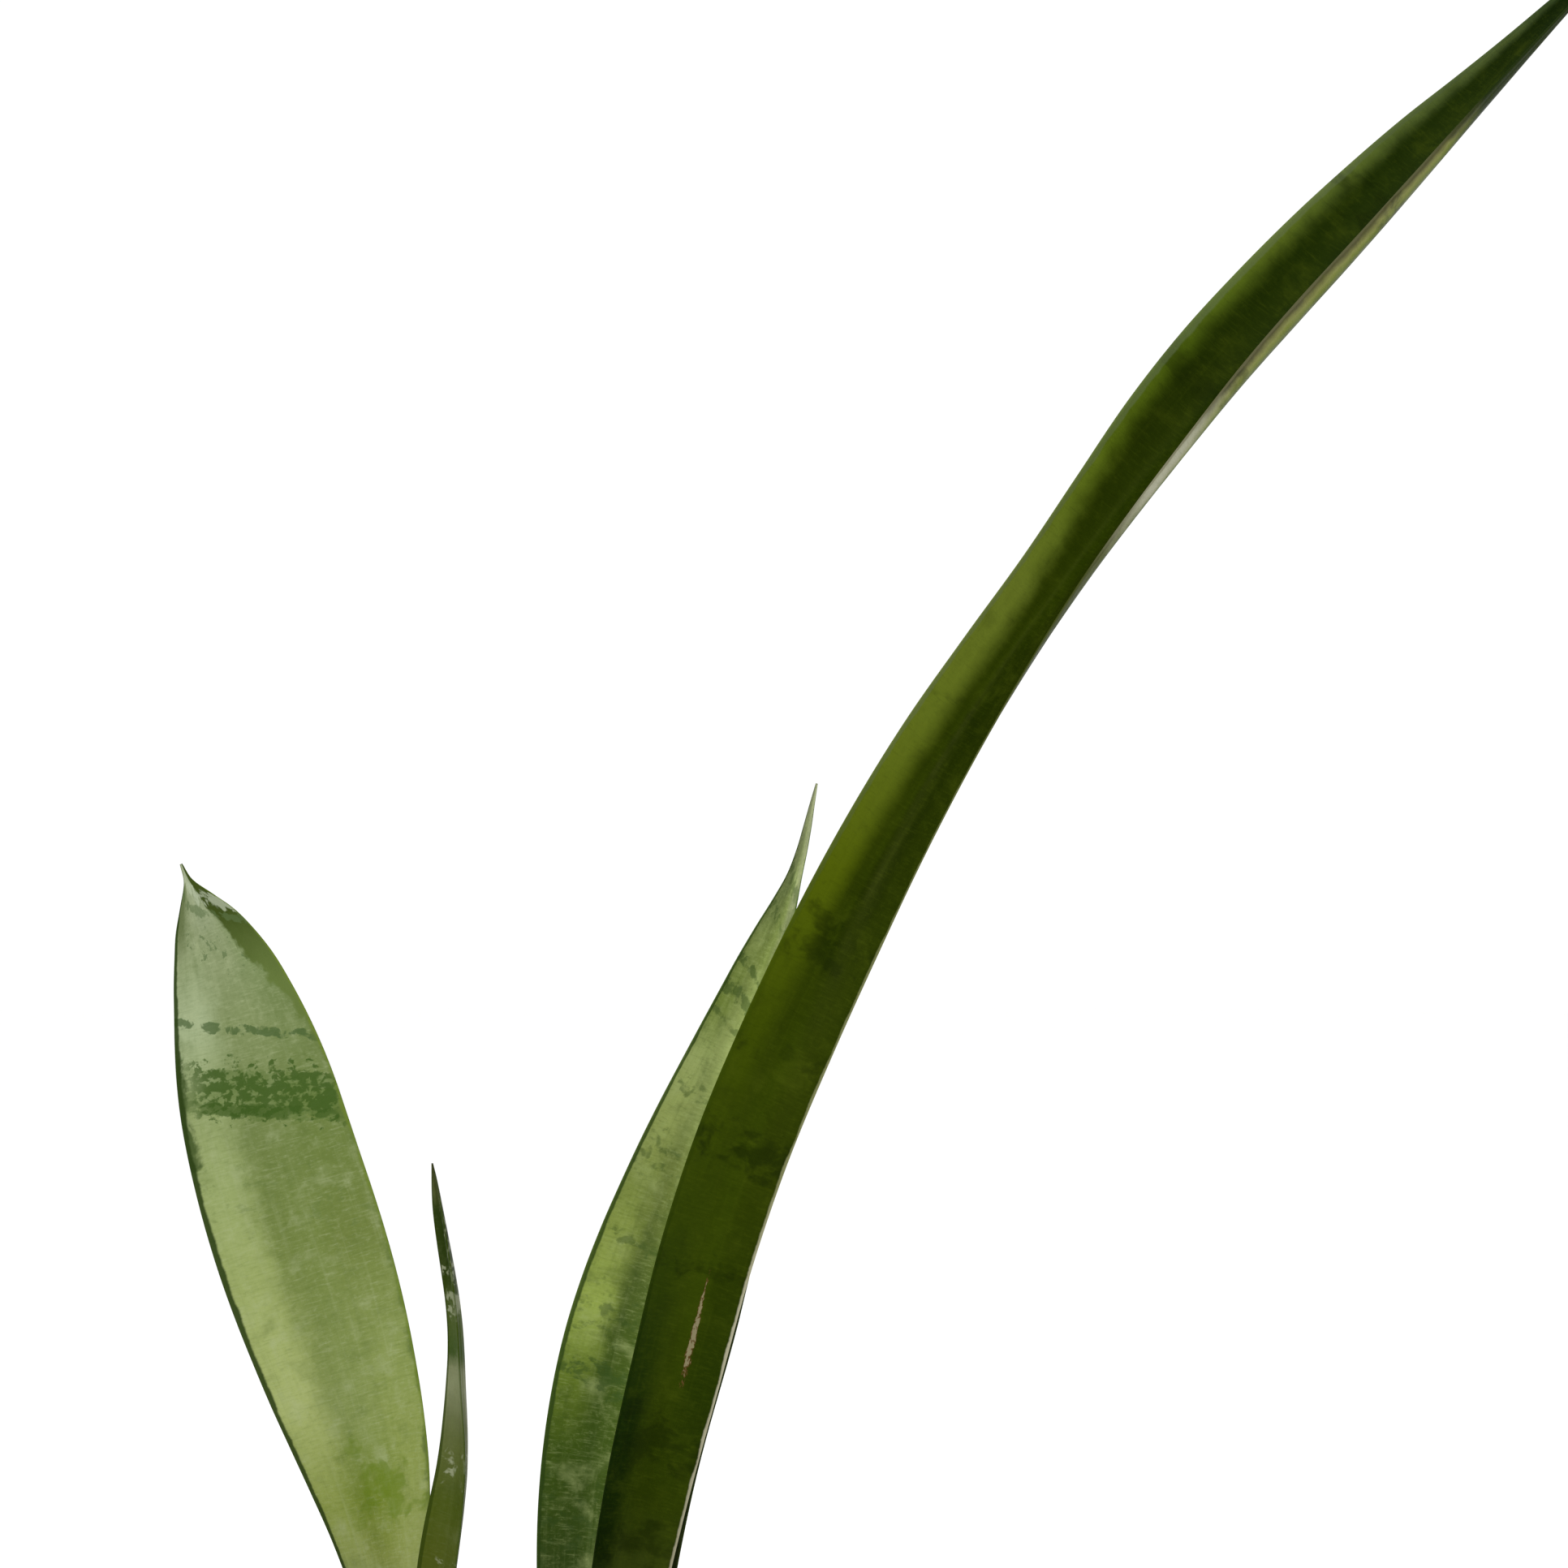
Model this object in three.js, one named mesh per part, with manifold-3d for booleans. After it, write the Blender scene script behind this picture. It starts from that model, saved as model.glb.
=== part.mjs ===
// A potted snake plant: five stiff leaves in two shoots, which a buried rhizome joins, in a plain clay pot.
// Millimetres, +Z up. The origin is the centre of the pot's underside. The tall leaf arches towards +X, and
// the front of the plant looks along -Y.
import * as THREE from "three";
import { LoftGeometry } from "three/addons/geometries/LoftGeometry.js";
import { mergeVertices } from "three/addons/utils/BufferGeometryUtils.js";
import Module from "manifold-3d";

const wasm = await Module();
wasm.setup();

// ---- Driving dimensions ----

const GAP = 0.35; // air left between two pieces that touch in the real plant

const POT = {
  height: 150,
  footRadius: 56,
  neckRadius: 75, // outside of the wall, just under the rim band
  rimRadius: 84,
  rimHeight: 31,
  rimWall: 9,
  wall: 7,
  floor: 9,
  lip: 2.5, // size of the softened edges
  rimTaper: 1.5, // how much narrower the rim band is at its bottom, outside and inside
  shoulderAbove: 4, // the wall widens to the rim's inside from this far above the band's bottom...
  shoulderBelow: 6, // ...to this far below it
  floorCorner: 4, // size of the chamfer between the floor and the wall
  segments: 48,
};
const DRAIN = { count: 3, radius: 6, circleRadius: 30, firstTurn: 0.25, segments: 20 };

const SOIL_EDGE = 127; // height of the soil where it meets the pot
const SOIL_CROWN = 132; // height of the soil in the middle
const SOIL_DOME = [[0.72, 0.55], [0.35, 0.88]]; // [share of the radius, share of the way up to the crown]
const SOIL_EDGE_TAPER = 1.3; // the soil's edge stands this far inside the rim's inner face

const CROWN_TOP = 105; // the leaves stand on the rhizome's crowns at this height
const LEAF_FOOT = CROWN_TOP + GAP;
const CROWNS = [
  { x: -32, y: -1, radius: 20 },
  { x: 34, y: 7, radius: 23 },
];
const CROWN_DEPTH = 26;
const CROWN_OUTLINE = [[0.55, 22], [0.9, 12], [1, 5]]; // [share of the radius, depth under the top]
const CROWN_TOP_SHARE = 0.94; // of the radius, at the top
const CROWN_SEGMENTS = 20;
const STEM = {
  depth: 12, // from the crowns' tops down to the stem's middle line
  radius: 10,
  rings: 7, // old leaf scars, which stand a little proud
  ringHeight: 0.7,
  sides: 10,
  stations: 29,
};
// The bends of the stem between its two crowns: [along from the nearer crown, across, down]
const STEM_BENDS = { left: [16, -3, 3], middle: [0, 6, 5], right: [-18, 3, 2] };
const STEM_END = { share: 0.5, across: 2 }; // share of a crown's radius that it runs on beyond the centre
const ROOTS = {
  count: 7,
  radius: 2.3,
  taper: 1.1, // thinner by this much at the tip
  turn: 2.4, // radians from each root's heading to the next, a wide turn that spreads them round the stem
  reach: 16,
  extraReach: 3,
  extraDrop: 3,
  sides: 6,
  stations: 7,
};
// A root's path: [share of its reach along its heading's x, along its heading's y, drop]
const ROOT_PATH = [[0, 0, 2], [0.6, 0.6, 22], [0.8, 1.1, 45], [0.9, 0.8, 62]];

// Each leaf starts under the soil and ends at its tip. Its spine is the middle of its thickness. The other
// entries are knots of [share of the length, value]:
//   width      flat width of the blade, from margin to margin
//   cup        angle between the two margins of the gutter that the blade makes, in degrees; 0 is flat
//   turn       where the hollow inner face looks, in degrees from -Y towards -X
//   thickness  at the middle of the blade
const LEAVES = [
  {
    name: "leaf_tall_arching",
    colour: 0x3a4f12,
    spine: [
      [27, -5, LEAF_FOOT],
      [38.6, -3, 205],
      [56.2, -1, 278],
      [77.8, 2, 350],
      [111.6, 6, 425],
      [151.5, 12, 496],
      [201, 20, 566],
      [257, 29, 635],
      [325, 38, 710],
      [380.5, 45, 772],
      [431, 51, 826],
    ],
    width: [
      [0, 22], [0.12, 40], [0.25, 43], [0.4, 44], [0.5, 43.5], [0.6, 42], [0.71, 54.5], [0.79, 52],
      [0.85, 40], [0.9, 24], [0.955, 11], [0.985, 4.5], [1, 1.2],
    ],
    cup: [[0, 130], [0.12, 122], [0.25, 103], [0.4, 116], [0.5, 140], [0.6, 160], [0.71, 138], [1, 140]],
    turn: [
      [0, -25], [0.12, -22], [0.3, -10], [0.39, 0], [0.49, 15], [0.6, 35], [0.71, 55], [0.8, 58], [1, 55],
    ],
    thickness: [[0, 5.5], [0.3, 4.2], [0.8, 3], [1, 1]],
  },
  {
    name: "leaf_broad_pale",
    colour: 0x8aa05e,
    spine: [
      [-35, 2, LEAF_FOOT],
      [-39, 2, 150],
      [-48, 4, 205],
      [-56, 5.5, 243],
      [-67, 7, 281],
      [-89.6, 10, 353],
      [-109, 13, 425],
      [-125.6, 16, 465],
    ],
    width: [
      [0, 19], [0.12, 22], [0.27, 35], [0.38, 50], [0.48, 60], [0.58, 65], [0.68, 64], [0.78, 58], [0.88, 41],
      [0.935, 25], [0.963, 12], [0.98, 4], [1, 1],
    ],
    cup: [[0, 120], [0.12, 100], [0.27, 68], [0.48, 48], [0.8, 42], [1, 42]],
    turn: [[0, -30], [0.3, -12], [0.6, -8], [1, -4]],
    thickness: [[0, 5], [0.3, 4], [0.8, 2.6], [1, 1]],
  },
  {
    name: "leaf_small_twisted",
    colour: 0x56703a,
    spine: [
      [-28, -9, LEAF_FOOT],
      [-30, -14, 160],
      [-25, -17, 205],
      [-19.3, -18.5, 245],
      [-18.8, -19, 272],
      [-20, -19, 302],
      [-29.4, -17, 356],
    ],
    width: [[0, 13], [0.4, 23], [0.6, 22], [0.78, 16], [0.92, 9], [1, 1]],
    cup: [[0, 110], [0.4, 80], [0.7, 60], [1, 90]],
    turn: [[0, 40], [0.4, 45], [0.56, 58], [0.7, 72], [0.8, 72], [0.92, 62], [1, 50]],
    thickness: [[0, 4], [0.5, 3], [1, 0.9]],
  },
  {
    name: "leaf_medium_pale",
    colour: 0x7f9a50,
    spine: [
      [24, 9, LEAF_FOOT],
      [24.5, 12, 205],
      [37.5, 14.5, 281],
      [60.5, 17.5, 353],
      [89.5, 21, 425],
      [104, 23, 462],
      [111.6, 24.5, 495],
    ],
    width: [
      [0, 19], [0.25, 39], [0.35, 46], [0.44, 49], [0.53, 46.5], [0.625, 39.5], [0.72, 30.5], [0.82, 20.5],
      [0.87, 14], [0.915, 8], [0.96, 4.5], [1, 1.2],
    ],
    cup: [[0, 115], [0.25, 88], [0.7, 86], [0.86, 100], [0.92, 150], [1, 150]],
    turn: [[0, 0], [0.3, 0], [0.7, 0], [1, 10]],
    thickness: [[0, 5], [0.3, 3.8], [0.8, 2.4], [1, 0.9]],
  },
  {
    name: "leaf_dark_behind",
    colour: 0x2c3f16,
    spine: [
      [44, 18, LEAF_FOOT],
      [45.6, 24, 205],
      [67.4, 29, 300],
      [85, 34, 360],
      [97, 38, 402],
    ],
    width: [[0, 16], [0.33, 31], [0.48, 33], [0.65, 34], [0.79, 29], [0.89, 19], [0.96, 8], [1, 1.2]],
    cup: [[0, 115], [0.33, 70], [0.8, 60], [1, 90]],
    turn: [[0, 0], [0.5, 0], [1, 0]],
    thickness: [[0, 5], [0.3, 3.6], [0.8, 2.4], [1, 0.9]],
  },
];
const LEAF_STATIONS = 26;
const TIP_CROWDING = 0.55; // 0 spaces the stations evenly; more brings them closer together towards the tip
const BURIED_SHARE = 0.3; // this much of a leaf's length is enough to pass through the soil
const FACE_SHARES = [-0.88, -0.62, -0.32, 0, 0.32, 0.62, 0.88]; // points across each face
const FOLD = 0.65; // 1 bends the gutter evenly; less bends it more along the middle
const MARGIN_POWER = 2.4; // how late the blade thins towards its margins
const STOUTNESS = 0.28; // most that a blade's thickness may be of its width
const GUTTER_STEPS = 12; // steps in which a section's curve is summed
const MERGE_DISTANCE = 1e-3;

const FINISHES = {
  pot: { color: 0xb5653f, roughness: 0.85 },
  soil: { color: 0x3b2a1e, roughness: 1 },
  rhizome: { color: 0xc08a4a, roughness: 0.7 },
};
const LEAF_ROUGHNESS = 0.45;

// ---- Helpers ----

/** The value at share s of knots [[share, value], ...], on a smooth curve through all of them. */
function valueAt(knots, s) {
  const last = knots.length - 1;
  const slope = (i) => {
    const [a, b] = [knots[Math.max(i - 1, 0)], knots[Math.min(i + 1, last)]];
    return (b[1] - a[1]) / (b[0] - a[0]);
  };
  const i = Math.min(Math.max(knots.findIndex((k) => k[0] >= s) - 1, 0), last - 1);
  const [s0, v0] = knots[i];
  const [s1, v1] = knots[i + 1];
  const span = s1 - s0;
  const t = (s - s0) / span;
  const ease = t * t * (3 - 2 * t);
  const start = slope(i) * span * t * (1 - t) * (1 - t);
  const end = slope(i + 1) * span * t * t * (t - 1);
  return v0 + (v1 - v0) * ease + start + end;
}

/** A closed geometry as a solid that can be cut and joined. */
function solidOf(geometry) {
  const bare = new THREE.BufferGeometry().copy(geometry);
  bare.deleteAttribute("normal");
  bare.deleteAttribute("uv");
  const merged = mergeVertices(bare, MERGE_DISTANCE);
  const vertProperties = merged.attributes.position.array;
  const triVerts = new Uint32Array(merged.index.array);
  return new wasm.Manifold(new wasm.Mesh({ numProp: 3, vertProperties, triVerts }));
}

function geometryOf(solid) {
  const { vertProperties, triVerts } = solid.getMesh();
  const geometry = new THREE.BufferGeometry();
  geometry.setAttribute("position", new THREE.BufferAttribute(vertProperties, 3));
  geometry.setIndex(new THREE.BufferAttribute(triVerts, 1));
  geometry.computeVertexNormals();
  return geometry;
}

/** A solid of revolution about +Z, from a profile of [radius, height] that starts and ends on the axis. */
function turned(profile, segments = POT.segments) {
  const points = profile.map(([radius, height]) => new THREE.Vector2(radius, height));
  return new THREE.LatheGeometry(points, segments).rotateX(Math.PI / 2);
}

function curveThrough(points) {
  const vectors = points.map(([x, y, z]) => new THREE.Vector3(x, y, z));
  return new THREE.CatmullRomCurve3(vectors, false, "centripetal");
}

/** A round tube along a curve; radiusAt gives its radius at each share of the length. */
function roundTube(curve, radiusAt, sides, stations) {
  const frames = curve.computeFrenetFrames(stations - 1, false);
  const sections = frames.tangents.map((_, i) => {
    const share = i / (stations - 1);
    const centre = curve.getPointAt(share);
    return Array.from({ length: sides }, (__, k) => {
      const angle = (2 * Math.PI * k) / sides;
      return centre
        .clone()
        .addScaledVector(frames.normals[i], radiusAt(share) * Math.cos(angle))
        .addScaledVector(frames.binormals[i], radiusAt(share) * Math.sin(angle));
    });
  });
  return new LoftGeometry(sections, { capStart: true, capEnd: true });
}

// ---- Leaves ----

/** Where a gutter's section stands at a share of the way to its margin, for a flat half width of 1. */
function gutterPoint(share, halfCup) {
  const point = { across: 0, up: 0, bend: Math.sign(share) * halfCup * Math.abs(share) ** FOLD };
  for (let i = 0; i < GUTTER_STEPS; i++) {
    const bend = halfCup * ((Math.abs(share) * (i + 0.5)) / GUTTER_STEPS) ** FOLD;
    point.across += (share * Math.cos(bend)) / GUTTER_STEPS;
    point.up += (Math.abs(share) * Math.sin(bend)) / GUTTER_STEPS;
  }
  return point;
}

/** One closed section of a blade: left margin, inner face, right margin, outer face. */
function bladeSection(leaf, spine, s, swell) {
  const centre = spine.getPointAt(s);
  const along = spine.getTangentAt(s);
  const turn = THREE.MathUtils.degToRad(valueAt(leaf.turn, s));
  const inward = new THREE.Vector3(-Math.sin(turn), -Math.cos(turn), 0);
  inward.addScaledVector(along, -inward.dot(along)).normalize();
  const across = new THREE.Vector3().crossVectors(along, inward);

  const halfCup = THREE.MathUtils.degToRad(valueAt(leaf.cup, s)) / 2;
  const width = valueAt(leaf.width, s);
  const middle = Math.min(valueAt(leaf.thickness, s), STOUTNESS * width);
  const point = (share, side) => {
    const at = gutterPoint(share, halfCup);
    const half = (middle * (1 - Math.abs(share) ** MARGIN_POWER)) / 2 + swell;
    const inner = inward.clone().multiplyScalar(Math.cos(at.bend));
    inner.addScaledVector(across, -Math.sin(at.bend));
    return centre
      .clone()
      .addScaledVector(across, (width / 2 + swell) * at.across)
      .addScaledVector(inward, (width / 2 + swell) * at.up)
      .addScaledVector(inner, side * half);
  };
  return [
    point(-1, 0),
    ...FACE_SHARES.map((share) => point(share, 1)),
    point(1, 0),
    ...FACE_SHARES.map((share) => point(-share, -1)),
  ];
}

/** Shares of the length at which sections stand, closer together towards the tip. */
function stationShares() {
  return Array.from({ length: LEAF_STATIONS }, (_, i) => {
    const u = i / (LEAF_STATIONS - 1);
    return (1 - TIP_CROWDING) * u + TIP_CROWDING * Math.sin((u * Math.PI) / 2);
  });
}

function bladeSections(leaf, shares, swell) {
  const spine = curveThrough(leaf.spine);
  const sections = shares.map((s) => bladeSection(leaf, spine, s, swell));
  for (const point of sections[0]) point.z = LEAF_FOOT; // the foot is level, to stand on its crown
  return sections;
}

function bladeGeometry(leaf) {
  return new LoftGeometry(bladeSections(leaf, stationShares(), 0), { capStart: true, capEnd: true });
}

/** The room that a leaf's foot takes in the soil: a little fatter than the leaf, and down into its crown. */
function leafRoom(leaf) {
  const shares = stationShares().filter((s) => s < BURIED_SHARE);
  const sections = bladeSections(leaf, shares, GAP);
  sections.unshift(sections[0].map((point) => point.clone().setZ(CROWN_TOP - GAP)));
  return solidOf(new LoftGeometry(sections, { capStart: true, capEnd: true }));
}

// ---- Rhizome: the thick buried stem, a crown under each shoot, and the main roots ----

function crownGeometry({ x, y, radius }, swell) {
  const at = ([share, depth]) => [share * radius + swell, CROWN_TOP - depth];
  const [low, middle, broadest] = CROWN_OUTLINE.map(at);
  const profile = [
    [0, CROWN_TOP - CROWN_DEPTH - swell],
    [low[0], low[1] - swell],
    [middle[0], middle[1] - swell],
    broadest,
    [CROWN_TOP_SHARE * radius + swell, CROWN_TOP + swell],
    [0, CROWN_TOP + swell],
  ];
  return turned(profile, CROWN_SEGMENTS).translate(x, y, 0);
}

/** The middle line of the stem, from one crown to the other. */
function stemCurve() {
  const [left, right] = CROWNS;
  const height = CROWN_TOP - STEM.depth;
  const bend = (x, y, [along, across, down]) => [x + along, y + across, height - down];
  const { share, across } = STEM_END;
  return curveThrough([
    [left.x - share * left.radius, left.y + across, height],
    bend(left.x, left.y, STEM_BENDS.left),
    bend(0, 0, STEM_BENDS.middle),
    bend(right.x, right.y, STEM_BENDS.right),
    [right.x + share * right.radius, right.y + across, height],
  ]);
}

/** The i-th root, which hangs from the stem. */
function rootGeometry(i, stem, swell) {
  const start = stem.getPointAt((i + 0.5) / ROOTS.count);
  const heading = i * ROOTS.turn;
  const reach = ROOTS.reach + ROOTS.extraReach * (i % 3);
  const path = ROOT_PATH.map(([alongX, alongY, drop]) => [
    start.x + alongX * reach * Math.cos(heading),
    start.y + alongY * reach * Math.sin(heading),
    start.z - drop,
  ]);
  path.at(-1)[2] -= ROOTS.extraDrop * (i % 2) + swell;
  const radiusAt = (share) => ROOTS.radius - ROOTS.taper * share + swell;
  return roundTube(curveThrough(path), radiusAt, ROOTS.sides, ROOTS.stations);
}

function rhizomeSolid(swell) {
  const stem = stemCurve();
  const ring = (share) => STEM.ringHeight * Math.cos(share * 2 * Math.PI * STEM.rings);
  const ringed = (share) => STEM.radius + swell + ring(share);
  let solid = solidOf(roundTube(stem, ringed, STEM.sides, STEM.stations));
  for (const crown of CROWNS) solid = solid.add(solidOf(crownGeometry(crown, swell)));
  for (let i = 0; i < ROOTS.count; i++) solid = solid.add(solidOf(rootGeometry(i, stem, swell)));
  return solid;
}

// ---- Pot and soil ----

const rimBottom = POT.height - POT.rimHeight;
const outerSlope = (POT.neckRadius - POT.footRadius) / rimBottom;
const innerRadiusAt = (height) => POT.footRadius + outerSlope * height - POT.wall;
const rimInside = POT.rimRadius - POT.rimWall;
const shoulderLow = rimBottom - POT.shoulderBelow;
const shoulderHigh = rimBottom + POT.shoulderAbove;
const floorSide = POT.floor + POT.floorCorner; // where the inner wall starts, above the floor's chamfer
const floorRadius = innerRadiusAt(POT.floor) - POT.floorCorner;

function potGeometry() {
  const { lip, rimTaper } = POT;
  const profile = [
    [0, 0],
    [POT.footRadius - lip, 0],
    [POT.footRadius, lip],
    [POT.neckRadius, rimBottom],
    [POT.rimRadius - rimTaper - lip, rimBottom],
    [POT.rimRadius - rimTaper, rimBottom + lip],
    [POT.rimRadius, POT.height - lip],
    [POT.rimRadius - lip, POT.height],
    [rimInside + lip, POT.height],
    [rimInside, POT.height - lip],
    [rimInside - rimTaper, shoulderHigh],
    [innerRadiusAt(shoulderLow), shoulderLow],
    [innerRadiusAt(floorSide), floorSide],
    [floorRadius, POT.floor],
    [0, POT.floor],
  ];
  let solid = solidOf(turned(profile));
  const { radius, circleRadius, segments } = DRAIN;
  for (let i = 0; i < DRAIN.count; i++) {
    const angle = (2 * Math.PI * (i + DRAIN.firstTurn)) / DRAIN.count;
    const drill = new THREE.CylinderGeometry(radius, radius, 3 * POT.floor, segments);
    drill.rotateX(Math.PI / 2).translate(circleRadius * Math.cos(angle), circleRadius * Math.sin(angle), 0);
    solid = solid.subtract(solidOf(drill));
  }
  return geometryOf(solid);
}

function soilGeometry() {
  const floor = POT.floor + GAP;
  const dome = SOIL_DOME.map(([out, up]) => [out * rimInside, SOIL_EDGE + up * (SOIL_CROWN - SOIL_EDGE)]);
  const profile = [
    [0, floor],
    [floorRadius - GAP, floor],
    [innerRadiusAt(floorSide) - GAP, floorSide + GAP],
    [innerRadiusAt(shoulderLow) - GAP, shoulderLow],
    [rimInside - POT.rimTaper - GAP, shoulderHigh + GAP],
    [rimInside - SOIL_EDGE_TAPER - GAP, SOIL_EDGE],
    ...dome,
    [0, SOIL_CROWN],
  ];
  let solid = solidOf(turned(profile)).subtract(rhizomeSolid(GAP));
  for (const leaf of LEAVES) solid = solid.subtract(leafRoom(leaf));
  return geometryOf(solid);
}

// ---- Assembly ----

function piece(name, geometry, finish) {
  const mesh = new THREE.Mesh(geometry, new THREE.MeshStandardMaterial({ ...finish, metalness: 0 }));
  mesh.name = name;
  return mesh;
}

const plant = new THREE.Group();
plant.add(piece("pot", potGeometry(), FINISHES.pot));
plant.add(piece("soil", soilGeometry(), FINISHES.soil));
plant.add(piece("rhizome", geometryOf(rhizomeSolid(0)), FINISHES.rhizome));
for (const leaf of LEAVES) {
  plant.add(piece(leaf.name, bladeGeometry(leaf), { color: leaf.colour, roughness: LEAF_ROUGHNESS }));
}

export default plant;
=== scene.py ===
# %% [markdown]
# # A potted snake plant
# The plant has five stiff leaves in two shoots, and stands in soil in a plain clay pot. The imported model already
# holds every piece at its real size, as faceted solids. This lesson gives each piece its living surface: smooth
# blades, a spun pot, crumbly soil and a scarred rhizome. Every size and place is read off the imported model, so the
# looks can't drift away from it.

# %% Load the frame
import math
import random

import bmesh
import bpy
from mathutils import Matrix, Vector, noise


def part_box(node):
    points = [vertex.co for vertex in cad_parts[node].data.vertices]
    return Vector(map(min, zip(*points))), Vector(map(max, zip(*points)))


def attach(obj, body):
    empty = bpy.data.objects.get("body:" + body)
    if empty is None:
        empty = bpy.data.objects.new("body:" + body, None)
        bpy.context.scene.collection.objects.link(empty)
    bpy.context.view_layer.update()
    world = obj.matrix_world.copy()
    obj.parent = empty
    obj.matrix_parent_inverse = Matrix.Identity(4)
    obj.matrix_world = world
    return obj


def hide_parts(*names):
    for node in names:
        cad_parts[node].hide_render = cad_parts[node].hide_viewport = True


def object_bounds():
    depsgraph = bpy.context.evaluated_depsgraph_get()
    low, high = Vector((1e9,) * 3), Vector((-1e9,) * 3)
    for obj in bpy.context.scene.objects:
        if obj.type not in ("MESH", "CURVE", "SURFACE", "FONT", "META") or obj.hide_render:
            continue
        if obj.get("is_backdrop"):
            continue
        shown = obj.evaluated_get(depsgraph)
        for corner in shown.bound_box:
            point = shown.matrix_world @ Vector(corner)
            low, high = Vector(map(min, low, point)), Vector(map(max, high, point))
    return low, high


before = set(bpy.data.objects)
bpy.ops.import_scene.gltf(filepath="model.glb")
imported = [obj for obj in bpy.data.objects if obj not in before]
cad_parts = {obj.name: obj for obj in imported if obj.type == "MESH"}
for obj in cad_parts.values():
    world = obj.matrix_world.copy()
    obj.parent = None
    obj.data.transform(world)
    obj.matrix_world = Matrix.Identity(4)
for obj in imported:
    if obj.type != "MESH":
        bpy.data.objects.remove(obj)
cad_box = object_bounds()
MM = 0.001
LEVEL = 0.01 * MM  # heights closer than this are one level
print("CAD nodes:", sorted(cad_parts))

# %% [markdown]
# ## Reading a solid
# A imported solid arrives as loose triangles. To find out how it is put together, a copy of it goes into a bmesh and
# its doubled vertices are merged. The solid itself stays untouched, because the checks compare it with the pack.


# %% A merged copy of a CAD solid
def merged_copy(node):
    bm = bmesh.new()
    bm.from_mesh(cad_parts[node].data)
    bmesh.ops.remove_doubles(bm, verts=bm.verts, dist=0.002 * MM)
    return bm


# %% [markdown]
# ## Curves through measured points
# The solids give a few dozen points on each leaf. A cubic with slopes taken from its neighbours makes a smooth curve
# that passes through every point. It works for numbers and vectors alike.


# %% A smooth curve through knots
def value_at(places, values, place):
    last = len(places) - 1
    i = 0
    while i < last - 1 and places[i + 1] < place:
        i += 1

    def slope(k):
        low, high = max(k - 1, 0), min(k + 1, last)
        return (values[high] - values[low]) / (places[high] - places[low])

    span = places[i + 1] - places[i]
    t = (place - places[i]) / span
    rise = (values[i + 1] - values[i]) * (t * t * (3 - 2 * t))
    start = slope(i) * (span * t * (1 - t) ** 2)
    end = slope(i + 1) * (span * t * t * (t - 1))
    return values[i] + rise + start + end


# %% [markdown]
# ## Turning a bmesh into a piece
# Every piece ends the same way: its normals are turned outwards, it becomes an object at the origin with its
# material, it rides on the plant's one body, and the CAD node that it stands for is hidden.


# %% Finish a piece
def placed(name, data):
    """An object with this data, in the scene."""
    made = bpy.data.objects.new(name, data)
    bpy.context.scene.collection.objects.link(made)
    return made


def make_piece(bm, name, material, replaced=None):
    bmesh.ops.recalc_face_normals(bm, faces=bm.faces)
    for face in bm.faces:
        face.smooth = True
    mesh = bpy.data.meshes.new(name)
    bm.to_mesh(mesh)
    bm.free()
    piece = placed(name, mesh)
    mesh.materials.append(material)
    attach(piece, "root")
    if replaced:
        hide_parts(replaced)
    print(f"{name}: {len(mesh.vertices)} vertices, {len(mesh.polygons)} faces")


# %% [markdown]
# ## Building finishes from nodes
# A shader is a graph of small nodes. These helpers add a node or two each and hand back its output, so that a finish
# can be written as a few lines of sums and mixes. An input is a number, a colour or another node's output, which is
# then wired in.


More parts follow.
